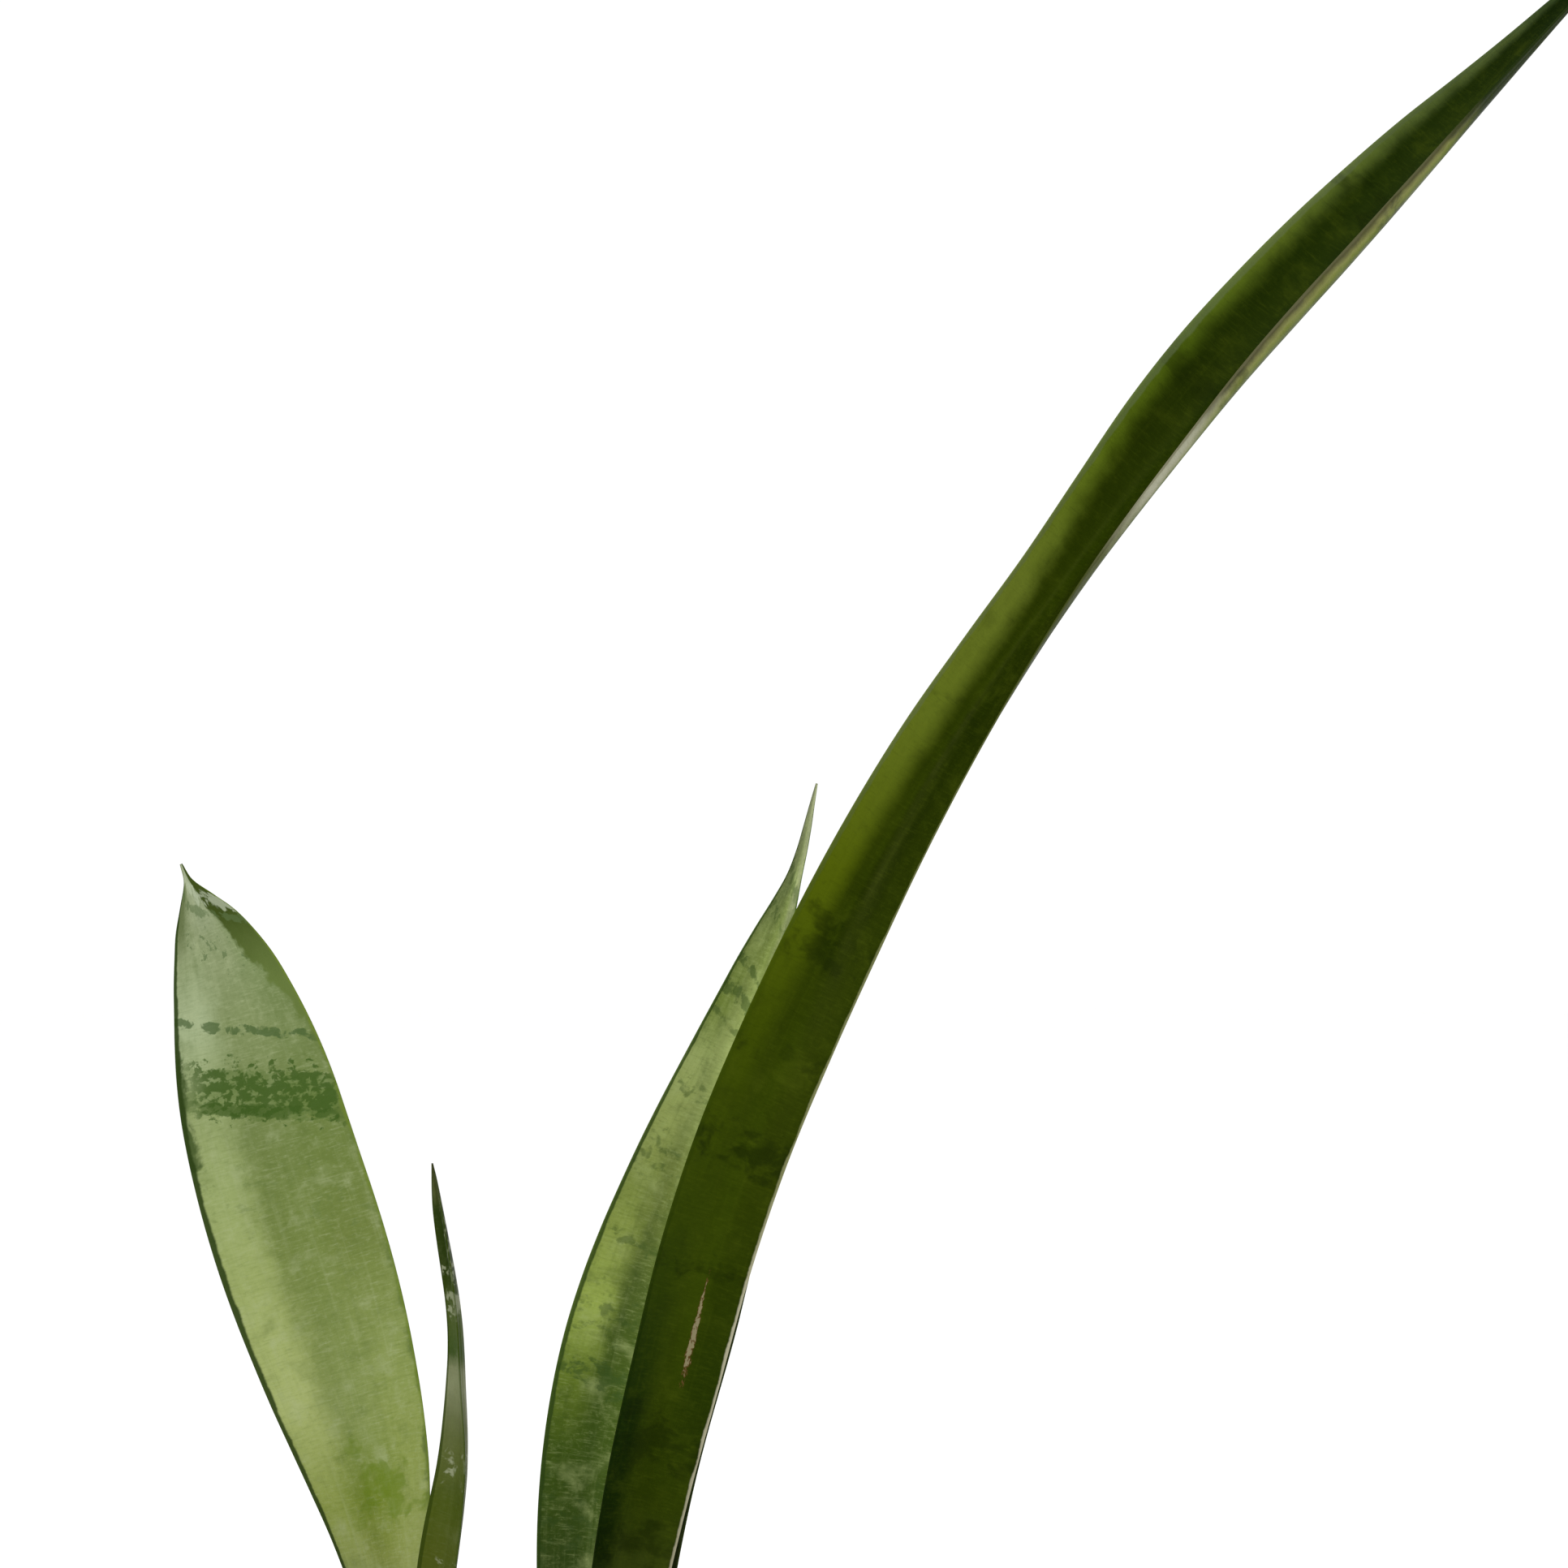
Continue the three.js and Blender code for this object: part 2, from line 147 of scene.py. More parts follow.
# %% Node helpers
class Finish:
    """One material and its node tree, with a Principled shader at the end."""

    def __init__(self, name, specular, roughness):
        self.material = bpy.data.materials.new(name)
        self.material.use_nodes = True
        self.tree = self.material.node_tree
        self.shader = self.tree.nodes["Principled BSDF"]
        self.put("Specular IOR Level", specular)
        self.put("Roughness", roughness)

    def node(self, kind, inputs=(), **settings):
        made = self.tree.nodes.new("ShaderNode" + kind)
        for key, value in settings.items():
            setattr(made, key, value)
        for key, value in dict(inputs).items():
            self.feed(made.inputs[key], value)
        return made

    def feed(self, socket, value):
        if isinstance(value, bpy.types.NodeSocket):
            self.tree.links.new(value, socket)
        else:
            socket.default_value = value

    def put(self, name, value):
        self.feed(self.shader.inputs[name], value)

    def maths(self, operation, a, b=0.0, c=0.0):
        return self.node("Math", {0: a, 1: b, 2: c}, operation=operation).outputs[0]

    def product(self, first, *others):
        for value in others:
            first = self.maths("MULTIPLY", first, value)
        return first

    def span(self, value, low, high, to_low=0.0, to_high=1.0, smooth=True):
        """Value brought from low..high to to_low..to_high, and held at the ends."""
        inputs = {"Value": value, "From Min": low, "From Max": high, "To Min": to_low, "To Max": to_high}
        kind = "SMOOTHSTEP" if smooth else "LINEAR"
        return self.node("MapRange", inputs, interpolation_type=kind).outputs[0]

    def window(self, value, low, full, still_full, high):
        """1 between full and still_full, fading to 0 at low and at high."""
        return self.product(self.span(value, low, full), self.span(value, high, still_full))

    def mix(self, share, a, b):
        return self.node("Mix", {0: share, 6: a, 7: b}, data_type="RGBA", clamp_factor=True).outputs[2]

    def veil(self, under, value, low, high, share, over):
        """A colour laid over another, up to a share, as a value goes from low to high."""
        return self.mix(self.span(value, low, high, 0, share), under, over)

    def ramp(self, place, stops):
        """Colours along a ramp, from stops of (place, colour)."""
        made = self.node("ValToRGB", {"Fac": place})
        elements = made.color_ramp.elements
        while len(elements) < len(stops):
            elements.new(0.5)
        for element, (where, colour) in zip(elements, stops):
            element.position = where
            element.color = colour
        return made.outputs[0]

    def vector(self, x, y, z):
        return self.node("CombineXYZ", {0: x, 1: y, 2: z}).outputs[0]

    def noise(self, vector, scale, detail=3.0, roughness=0.5, distortion=0.0):
        inputs = dict(Vector=vector, Scale=scale, Detail=detail, Roughness=roughness, Distortion=distortion)
        return self.node("TexNoise", inputs).outputs["Fac"]

    def bump(self, height, strength, distance, normal=None):
        inputs = dict(Height=height, Strength=strength, Distance=distance)
        if normal is not None:
            inputs["Normal"] = normal
        return self.node("Bump", inputs).outputs[0]

    def attribute(self, name, output):
        return self.node("Attribute", attribute_name=name, attribute_type="GEOMETRY").outputs[output]

    def place(self):
        """Where a point is on the piece, in metres."""
        return self.node("TexCoord").outputs["Object"]

    def stretched(self, scale):
        """The place, with noise drawn out along the axes whose scale is under 1."""
        return self.node("Mapping", {"Vector": self.place(), "Scale": scale}).outputs[0]

    def surface(self, colour, normal):
        self.put("Base Color", colour)
        self.put("Normal", normal)
        return self.material


def tone(red, green, blue, gain=1.0):
    """A colour as a shader wants it, from the 0 to 255 values that a paint program shows."""
    linear = [((v / 255 + 0.055) / 1.055) ** 2.4 if v > 10 else v / 255 / 12.92 for v in (red, green, blue)]
    return (*(light * gain for light in linear), 1.0)


# %% [markdown]
# ## Reading a leaf
# A CAD leaf is a loft: rings of sixteen points, closed at the foot and the tip. They are found again by walking up
# the mesh: all neighbours of one ring that haven't been seen yet are the next. In each ring, the two sharpest corners
# are the blade's margins, and the hollow face is the one whose middle is nearer to the line between them.


# %% Find the rings of a leaf
def leaf_rings(node):
    bm = merged_copy(node)
    foot = min(v.co.z for v in bm.verts)
    levels = [{v for v in bm.verts if v.co.z < foot + LEVEL}]
    seen = set(levels[0])
    while True:
        above = {e.other_vert(v) for v in levels[-1] for e in v.link_edges} - seen
        if not above:
            break
        levels.append(above)
        seen |= above
    ends = (levels[0], levels[-1])
    caps = [f for f in bm.faces if any(all(v in end for v in f.verts) for end in ends)]
    bmesh.ops.delete(bm, geom=caps, context="FACES")
    rings = []
    for level in levels:
        walk = [min(level, key=lambda v: v.co[:])]
        while len(walk) < len(level):
            neighbours = [e.other_vert(walk[-1]) for e in walk[-1].link_edges]
            walk.append(next(v for v in neighbours if v in level and v not in walk))
        rings.append([v.co.copy() for v in walk])
    bm.free()
    return rings


# %% Sort a ring into margins and faces
def sort_ring(ring, along):
    """The inner and the outer face of one ring, each as nine points from the left margin to the right one."""
    count = len(ring)
    half = count // 2

    def corner(k):
        before = ring[k] - ring[k - 1]
        after = ring[(k + 1) % count] - ring[k]
        return before.angle(after)

    margin = max(range(half), key=lambda k: corner(k) + corner(k + half))
    turned = [ring[(margin + k) % count] for k in range(count)]
    faces = [turned[: half + 1], [turned[0]] + turned[:half - 1:-1]]
    chord = (turned[0] + turned[half]) / 2
    inner, outer = sorted(faces, key=lambda face: (face[half // 2] - chord).length)
    inward = inner[half // 2] - outer[half // 2]
    if along.cross(inward).dot(inner[-1] - inner[0]) < 0:
        inner, outer = inner[::-1], outer[::-1]
    return inner, outer


def leaf_stations(node):
    rings = leaf_rings(node)
    centres = [sum(ring, Vector()) / len(ring) for ring in rings]
    stations = []
    for i, ring in enumerate(rings):
        along = centres[min(i + 1, len(rings) - 1)] - centres[max(i - 1, 0)]
        stations.append(sort_ring(ring, along))
    print(f"{node}: {len(stations)} stations of {len(rings[0])} points")
    return stations


# %% [markdown]
# ## Modelling a blade
# A bevelled curve or a solidified plane can't give a section that changes from a gutter at the foot to an open blade
# and a rolled tip. Here the section is drawn once as a ring of edges and extruded up the leaf, row by row, each row
# moved to where the smooth surface through the stations says. The columns stand closer together near the margins,
# which are rounded to the hard 1 mm rim of the real leaf. Shallow lengthwise furrows and a slow swell keep the
# surface from looking machined.
#
# Each vertex also stores where it is on the leaf: how far across, how far along in metres, and on which face. The
# finishes read that, so their bands and streaks follow the twist of the leaf.

# %% Blade sizes
CAD_SHARES = [-1, -0.88, -0.62, -0.32, 0, 0.32, 0.62, 0.88, 1]  # where the CAD ring's points stand across a face
COLUMNS = 36  # across each face
ROWS_PER_STATION = 8
RIM_HALF = 0.45 * MM  # half the thickness of a blade's margin
RIM_SHARPNESS = 14  # how late the rim closes
RIM_START = 1e-6  # gives a margin, which has no thickness in the CAD, a direction
FURROW_DEPTH = 0.12 * MM  # on the back
INNER_FURROWS = 0.4  # their depth on the hollow face, as a share of that
FURROWS = 34  # radians from the middle to a margin
FURROW_BENDS = 9  # to a metre
SWELL_DEPTH = 0.35 * MM
SWELLS = 22  # to a metre
NARROW = 12 * MM  # a blade under this width is plain


# %% Rows of points up a leaf
def blade_rows(stations, seed):
    """Rows of (point, across, metres along, face), where face is 1 on the hollow side and 0 on the back."""
    shares = [math.sin(math.pi / 2 * (2 * k / COLUMNS - 1)) for k in range(COLUMNS + 1)]
    nets = []
    for inner, outer in stations:
        middle = [(a + b) / 2 for a, b in zip(inner, outer)]
        half = [(a - b) / 2 for a, b in zip(inner, outer)]
        half[0] = half[1].normalized() * RIM_START
        half[-1] = half[-2].normalized() * RIM_START
        nets.append([(value_at(CAD_SHARES, middle, s), value_at(CAD_SHARES, half, s)) for s in shares])
    marks = list(range(len(nets)))
    row_count = (len(nets) - 1) * ROWS_PER_STATION
    rows, travelled, previous = [], 0.0, None
    for r in range(row_count + 1):
        place = r / ROWS_PER_STATION
        middles = [value_at(marks, [net[k][0] for net in nets], place) for k in range(len(shares))]
        halves = [value_at(marks, [net[k][1] for net in nets], place) for k in range(len(shares))]
        centre = middles[len(shares) // 2]
        travelled += (centre - previous).length if previous else 0.0
        previous = centre
        width = (middles[-1] - middles[0]).length
        calm = min(1.0, width / NARROW)
        inner_side, outer_side = [], []
        for share, middle, half in zip(shares, middles, halves):
            rim = RIM_HALF * calm * math.sqrt(1 - abs(share) ** RIM_SHARPNESS)
            direction = half.normalized()
            thick = max(half.length, rim)
            body = 1 - share ** 4
            swell = noise.noise(Vector((share * 1.3 + seed, travelled * SWELLS, seed)))
            wander = noise.noise(Vector((share * 3, travelled * FURROW_BENDS, seed + 5)))
            furrow = math.cos(share * FURROWS + 2 * wander)
            shift = direction * (SWELL_DEPTH * swell * calm * body)
            groove = FURROW_DEPTH * furrow * calm * body
            inner = middle + shift + direction * (thick + groove * INNER_FURROWS)
            outer = middle + shift - direction * (thick + groove)
            inner_side.append((inner, share, travelled, 1.0))
            outer_side.append((outer, share, travelled, 0.0))
        left = (middles[0], -1.0, travelled, 0.5)
        right = (middles[-1], 1.0, travelled, 0.5)
        rows.append([left] + inner_side[1:-1] + [right] + outer_side[-2:0:-1])
    return rows


# %% Extrude a section up its rows
def loft(rows):
    """A closed skin through rows of (point, across, metres along, face)."""
    bm = bmesh.new()
    blade = bm.verts.layers.float_vector.new("blade")
    ring = [bm.verts.new(point) for point, *_ in rows[0]]
    edges = [bm.edges.new((ring[k - 1], ring[k])) for k in range(len(ring))]
    foot_edges = edges
    for k, row in enumerate(rows):
        if k > 0:
            made = bmesh.ops.extrude_edge_only(bm, edges=edges)["geom"]
            fresh = {v for v in made if isinstance(v, bmesh.types.BMVert)}
            ring = [next(e.other_vert(v) for e in v.link_edges if e.other_vert(v) in fresh) for v in ring]
            edges = [e for e in made if isinstance(e, bmesh.types.BMEdge) and all(v in fresh for v in e.verts)]
        for vertex, (point, across, along, face) in zip(ring, row):
            vertex.co = point
            vertex[blade] = (across, along, face)
    bmesh.ops.edgeloop_fill(bm, edges=foot_edges)
    bmesh.ops.edgeloop_fill(bm, edges=edges)
    bmesh.ops.triangulate(bm, faces=[f for f in bm.faces if len(f.verts) > 4])
    return bm


# %% [markdown]
# ## The skin of a leaf
# All five leaves share one kind of skin: a waxy cuticle with a satin gloss, over tissue that is clouded, stippled
# and finely grained across. So one class makes the skin, and each leaf gives it ramps of colour from foot to tip,
# for its left flank, its middle and its right flank, and adds its own marks. Where a leaf's flanks differ in colour,
# the difference is painted light and shade. The gloss is tinted, because a leaf's wax lets the green through and
# doesn't mirror white as plastic does.


# %% The common skin
FLANK = (0.1, 0.62)  # how far out, in half widths, a flank's colour starts and is full
NARROWED = 0.46  # how far a narrowed left flank starts further out
WAX_TINT = (0.8, 0.9, 0.15, 1.0)


def shades(stops, gain):
    """Ramp stops from (share of length, red, green, blue)."""
    return [(place, tone(red, green, blue, gain)) for place, red, green, blue in stops]


class LeafSkin(Finish):
    """A leaf's finish, which knows where on the blade it is. Light is how much of its colours it gives back.

    Ragged and fringe say how far they stray along and across it, and narrowing where the left flank's painted light
    draws in.
    """

    def __init__(self, name, size, flanks, light, seed, back=None, gloss=0.08, ragged=0.012, fringe=0.5,
                 narrowing=None):
        super().__init__(name, specular=gloss, roughness=0.4)
        self.put("Specular Tint", WAX_TINT)
        self.light, self.seed = light, seed
        blade = self.attribute("blade", "Vector")
        self.across, self.along, self.face = self.node("SeparateXYZ", {0: blade}).outputs
        length, half_width = size
        self.side = self.product(self.across, half_width)
        stray = self.maths("SUBTRACT", self.cloud(90, 90, 4, 0.65), 0.5)
        share = self.maths("DIVIDE", self.along, length)
        self.share = self.maths("MULTIPLY_ADD", stray, ragged * 2, share)
        self.drift = self.maths("MULTIPLY_ADD", stray, fringe, self.across)
        # The left and right ramps laid over the middle one carry painted light and shade across the blade.
        left, middle, right = flanks
        self.colour = self.along_leaf(middle)
        leftward = self.product(self.drift, -1)
        if narrowing:
            leftward = self.maths("SUBTRACT", leftward, self.span(self.share, *narrowing, 0, NARROWED))
        self.stain(self.along_leaf(left), 1, self.span(leftward, *FLANK))
        self.stain(self.along_leaf(right), 1, self.span(self.drift, *FLANK))
        if back:
            self.stain(self.along_leaf(back), 1, self.span(self.face, 0.5, 0.3))

    def hue(self, red, green, blue, gain=1.0):
        return tone(red, green, blue, self.light * gain)

    def along_leaf(self, stops):
        return self.ramp(self.share, shades(stops, self.light))

    def cloud(self, across_scale, along_scale, detail=3.0, roughness=0.5, offset=0.0):
        """Noise in the blade's own plane. The scales say how many lumps there are to a metre."""
        x, y = self.product(self.side, across_scale), self.product(self.along, along_scale)
        return self.noise(self.vector(x, y, self.seed + offset), 1, detail, roughness, 0.3)

    def stain(self, colour, strength, *covers):
        """Lay a colour over the leaf, where all the covers say so."""
        self.colour = self.mix(self.product(strength, *covers), self.colour, colour)

    def grain(self, light, dark, amount):
        """Faint streaks, cross grain, clouds and stipple, each pulling the colour both ways."""
        streaks = self.cloud(420, 14, 3, 0.6, 1.7)
        self.cross_grain = self.cloud(150, 1200, 3, 0.65, 4.1)
        self.clouds = self.cloud(75, 80, 4, 0.6, 9.3)
        stipple = self.cloud(420, 640, 3, 0.7, 6.2)
        layers = ((streaks, 0.12), (self.cross_grain, 0.25), (self.clouds, 0.35), (stipple, 0.2))
        for layer, strength in layers:
            self.stain(light, 1, self.span(layer, 0.5, 0.8, 0, strength * amount))
            self.stain(dark, 1, self.span(layer, 0.5, 0.2, 0, strength * amount))

    def margin(self, side, start, colour, strength):
        """A thin line of another colour along one margin, -1 for the left one and 1 for the right one."""
        waver = self.product(self.maths("SUBTRACT", self.cloud(20, 75, 4, 0.65, 3.0), 0.5), 0.1)
        edge = self.maths("MULTIPLY_ADD", self.across, side, waver)
        self.stain(colour, strength, self.span(edge, start, start + 0.035))

    def band(self, centre, half_width, density, tilt=0.0, lumps=330, softness=0.055):
        """How much of a ragged band across the leaf covers each point. Lengths are metres along the leaf."""
        place = self.maths("MULTIPLY_ADD", self.across, tilt, self.along)
        wander = self.maths("SUBTRACT", self.cloud(45, 20, 3, 0.6, centre * 90), 0.5)
        place = self.maths("MULTIPLY_ADD", wander, half_width, place)
        away = self.maths("DIVIDE", self.maths("SUBTRACT", place, centre), half_width)
        falling = self.product(away, away, -0.16)
        level = self.maths("ADD", self.cloud(lumps * 0.75, lumps, 3, 0.6, centre * 50), falling)
        threshold = 0.62 - 0.3 * density
        return self.span(level, threshold - softness, threshold + softness)

    def bands(self, colour, rows, **settings):
        """Bands of one colour, from rows of (centre, half width, density, strength)."""
        for centre, half_width, density, strength in rows:
            self.stain(colour, strength, self.band(centre, half_width, density, **settings))

    def finish(self):
        """Add the wax's relief and uneven gloss, and connect the colour."""
        fibres = self.cloud(1100, 10, 2, 0.5, 2.2)
        pores = self.noise(self.place(), 2600, 2, 0.6)
        normal = self.bump(fibres, 0.16, 0.25 * MM)
        normal = self.bump(self.cross_grain, 0.16, 0.2 * MM, normal)
        normal = self.bump(pores, 0.1, 0.1 * MM, normal)
        self.put("Roughness", self.span(self.clouds, 0.25, 0.75, 0.34, 0.52))
        return self.surface(self.colour, normal)


# %% [markdown]
# ## The tall arching leaf
# It is the oldest leaf, so it is the darkest and the dullest: a deep olive with almost no bands. Its left flank is
# lighter, most of all half-way up, and this is painted light; dull dark clouds cross it low down. The back, which
# shows as a strip where the leaf twists, is paler and yellower, partly as painted light and reflection, with a
# silvery painted highlight and, below it, a grey painted highlight along the fold. A short corky scar runs along the
# leaf near the foot.

# %% Finish of the tall leaf
OLD_LEAF = 0.63  # how much light the old tissue gives back, against the colours below
SCAR_ALONG, SCAR_HALF_LENGTH = 0.193, 0.017  # metres
SCAR_ACROSS, SCAR_HALF_WIDTH = 0.29, 0.062  # shares of the half width


def tall_leaf_skin(name, size):
    # The left ramp is lighter than the middle and right ones: painted light on the left flank.
    left = [
        (0, 80, 92, 40), (0.13, 16, 33, 2), (0.19, 22, 42, 3), (0.25, 46, 63, 4), (0.36, 66, 82, 4),
        (0.44, 92, 108, 12), (0.5, 110, 126, 34), (0.58, 122, 138, 46), (0.66, 102, 124, 26), (0.71, 96, 120, 24),
        (0.77, 112, 132, 40), (0.9, 106, 124, 68), (0.95, 60, 80, 44), (1, 26, 42, 20),
    ]
    middle = [
        (0, 84, 94, 42), (0.15, 40, 55, 3), (0.25, 53, 69, 6), (0.4, 46, 60, 3), (0.6, 42, 56, 2),
        (0.7, 32, 46, 3), (0.78, 28, 44, 4), (0.88, 30, 46, 8), (0.94, 18, 34, 8), (1, 16, 28, 10),
    ]
    right = [
        (0, 80, 90, 40), (0.15, 44, 58, 4), (0.2, 34, 50, 3), (0.3, 44, 57, 3), (0.5, 37, 49, 3),
        (0.65, 36, 46, 4), (0.88, 22, 36, 4), (1, 16, 28, 10),
    ]
    # From about 0.6 of the way up, the back's lighter tones are partly painted reflection.
    back = [
        (0, 80, 90, 40), (0.2, 48, 60, 14), (0.5, 50, 60, 12), (0.7, 62, 74, 14), (0.86, 30, 44, 6),
        (1, 30, 44, 10),
    ]
    skin = LeafSkin(name, size, (left, middle, right), OLD_LEAF, seed=3.1, back=back, gloss=0.035, fringe=0.22,
                    narrowing=(0.54, 0.7))
    outside = skin.span(skin.face, 0.5, 0.3)
    # Painted light and highlight on the back's strip: a lit yellow-green band with a grey satin line.
    silver = skin.ramp(skin.span(skin.drift, 0.3, 1.0, smooth=False), shades([
        (0, 52, 66, 12), (0.3, 84, 98, 26), (0.55, 122, 134, 42), (0.68, 146, 150, 82), (0.8, 122, 122, 66),
        (0.9, 92, 90, 52), (1, 88, 84, 56),
    ], OLD_LEAF * 0.85))
    opening = skin.maths("MULTIPLY_ADD", skin.drift, 0.1, skin.share)
    skin.stain(silver, 1, skin.span(opening, 0.66, 0.76), skin.span(skin.share, 0.88, 0.845), outside)
    # A grey painted highlight where the fold's back begins.
    fold_highlight = skin.window(skin.share, 0.61, 0.65, 0.665, 0.71)
    skin.stain(tone(142, 142, 122), 1, fold_highlight, skin.span(skin.drift, 0.55, 0.85), outside)
    # Painted shade darkens the middle of the hollow face half-way up.
    painted_shade_keel = skin.window(skin.across, -0.04, 0.1, 0.38, 0.6)
    half_way_up = skin.window(skin.share, 0.36, 0.42, 0.54, 0.6)
    skin.stain(skin.hue(26, 38, 1), 0.7, painted_shade_keel, half_way_up, skin.span(skin.face, 0.5, 0.7))
    skin.grain(skin.hue(84, 98, 20), skin.hue(14, 26, 1), 0.7)
    skin.bands(skin.hue(12, 26, 2), (
        (0.112, 0.012, 0.5, 0.5), (0.15, 0.014, 0.5, 0.5), (0.215, 0.007, 0.3, 0.5), (0.262, 0.009, 0.5, 0.6),
        (0.3, 0.006, 0.25, 0.4), (0.345, 0.012, 0.35, 0.5), (0.44, 0.012, 0.15, 0.3), (0.6, 0.014, 0.35, 0.4),
        (0.69, 0.012, 0.3, 0.5),
    ), lumps=120, softness=0.1)
    # The pale, whitish stretches of the right margin's line are a painted rim highlight.
    skin.margin(1, 0.94, skin.ramp(skin.share, shades([
        (0, 128, 124, 96), (0.24, 168, 164, 140), (0.3, 120, 122, 84), (0.5, 92, 98, 56), (0.55, 60, 68, 24),
        (0.6, 62, 68, 28), (0.64, 124, 122, 100), (0.7, 92, 90, 64), (0.84, 84, 84, 56), (0.88, 24, 38, 8),
        (1, 40, 52, 24),
    ], 0.8)), 0.85)
    # The pale stretch of the left margin's line, from half-way up, is a painted satin reflection.
    skin.margin(-1, 0.88, skin.along_leaf([
        (0, 60, 74, 30), (0.1, 12, 30, 2), (0.22, 16, 38, 2), (0.4, 70, 88, 10), (0.5, 116, 130, 88),
        (0.8, 112, 126, 88), (0.92, 48, 66, 36), (1, 24, 36, 18),
    ]), 0.45)
    aside = skin.maths("DIVIDE", skin.maths("SUBTRACT", skin.across, SCAR_ACROSS), SCAR_HALF_WIDTH)
    beyond = skin.maths("DIVIDE", skin.maths("SUBTRACT", skin.along, SCAR_ALONG), SCAR_HALF_LENGTH)
    aside = skin.maths("MULTIPLY_ADD", beyond, 0.35, aside)
    slender = skin.product(aside, skin.span(beyond, -1, 1, 0.8, 1.8))
    reach = skin.maths("ADD", skin.product(slender, slender), skin.product(beyond, beyond))
    ragged = skin.maths("ADD", reach, skin.span(skin.cloud(700, 300, 3, 0.7), 0.3, 0.7, -0.8, 0.8))
    front = skin.span(skin.face, 0.5, 0.8)
    skin.stain(skin.hue(96, 66, 36), 0.8, skin.span(ragged, 1.5, 0.9), front)
    skin.stain(tone(128, 120, 90, 0.75), 1, skin.span(ragged, 0.9, 0.5), front)
    return skin.finish()


# %% [markdown]
# ## The broad pale leaf
# It is silvery sage at the top and yellow-green below, with a dark margin on its left, an olive wedge under the tip
# on its right, one mottled band and a broken line above it. A band is noise that is cut off at a level, and the
# noise falls away from the band's middle, so its edges break up into flecks. The leaf leans, but its bands lie
# level, so they are tilted against it.

# %% Finish of the broad leaf
LEAN = 0.0085  # how far a level band climbs, in metres along the leaf, from its middle to a margin
PALE_LEAF = 0.66


def broad_leaf_skin(name, size):
    # The left ramp is lighter than the middle and right ones: a painted highlight along the left flank.
    left = [
        (0, 206, 208, 160), (0.28, 148, 160, 92), (0.34, 142, 156, 78), (0.45, 168, 180, 112),
        (0.58, 154, 168, 102), (0.68, 148, 163, 104), (0.76, 140, 155, 102), (0.84, 160, 174, 134),
        (0.9, 140, 153, 112), (1, 140, 148, 116),
    ]
    middle = [
        (0, 206, 208, 160), (0.28, 132, 144, 72), (0.34, 112, 130, 44), (0.42, 132, 147, 84), (0.6, 112, 128, 66),
        (0.7, 108, 124, 68), (0.84, 126, 140, 94), (0.92, 134, 146, 108), (1, 150, 160, 133),
    ]
    right = [
        (0, 200, 204, 156), (0.28, 150, 162, 92), (0.36, 138, 152, 80), (0.48, 132, 147, 82), (0.6, 108, 123, 62),
        (0.7, 104, 121, 62), (0.84, 112, 128, 80), (0.92, 122, 138, 94), (1, 96, 110, 66),
    ]
    skin = LeafSkin(name, size, (left, middle, right), PALE_LEAF, seed=7.7)
    skin.grain(skin.hue(176, 186, 144), skin.hue(80, 100, 46), 1.1)
    patch = skin.band(0.128, 0.017, 0.5, lumps=90)
    skin.stain(skin.hue(98, 122, 28), 0.6, patch, skin.span(skin.across, -0.7, 0.1))
    paler_left = skin.span(skin.drift, -0.95, -0.5, 0.3, 1.0)
    for centre, reach, density, lumps, colour, strength, cover in (
        (0.2815, 0.006, 1.5, 330, (84, 108, 52), 0.5, paler_left),
        (0.283, 0.0115, 0.6, 360, (56, 84, 30), 0.85, paler_left),
        (0.2755, 0.0025, 0.75, 200, (56, 84, 30), 0.7, paler_left),
        (0.3065, 0.0022, 0.6, 220, (62, 88, 46), 0.75, 1),
        (0.338, 0.012, 0.03, 330, (76, 98, 58), 0.6, 1),
        (0.240, 0.02, 0.05, 200, (92, 112, 60), 0.35, 1),
    ):
        skin.stain(skin.hue(*colour), strength, skin.band(centre, reach, density, LEAN, lumps), cover)
    edge = skin.maths("SUBTRACT", skin.drift, skin.span(skin.share, 0.8, 0.955, 0.97, 0.24, smooth=False))
    skin.stain(skin.along_leaf([(0.86, 94, 112, 56), (0.94, 50, 66, 16)]), 0.95, skin.span(edge, -0.05, 0.07))
    tip, left_edge = skin.span(skin.share, 0.9, 0.94), skin.span(skin.drift, -0.5, -0.85)
    skin.stain(skin.hue(90, 104, 62), 0.85, tip, left_edge)
    bruise = skin.band(0.29, 0.022, 1.4, lumps=60)
    skin.stain(skin.hue(50, 72, 30), 0.85, bruise, skin.span(skin.drift, -0.84, -0.94))
    skin.stain(skin.hue(84, 104, 64), 0.6, skin.band(0.353, 0.0025, 0.6, LEAN, 200))
    skin.stain(skin.hue(178, 188, 160), 0.6, skin.band(0.3615, 0.005, 0.6, LEAN, 200))
    skin.margin(-1, 0.915, skin.hue(40, 60, 22), 0.95)
    skin.margin(1, 0.95, skin.hue(104, 124, 40), 0.6)
    return skin.finish()


# %% [markdown]
# ## The medium leaf, the young leaf and the leaf behind
# The medium leaf is pale, with a left flank painted bright yellow-green as painted light, and turns darker towards
# its foot. The young leaf is a fresh dark green with grey blotches as wide as the leaf itself. The leaf behind is the
# darkest of the five.


# %% Finishes of the other leaves
MEDIUM_LEAF = 1.05
YOUNG_LEAF = 0.52
SHADED_LEAF = 0.7


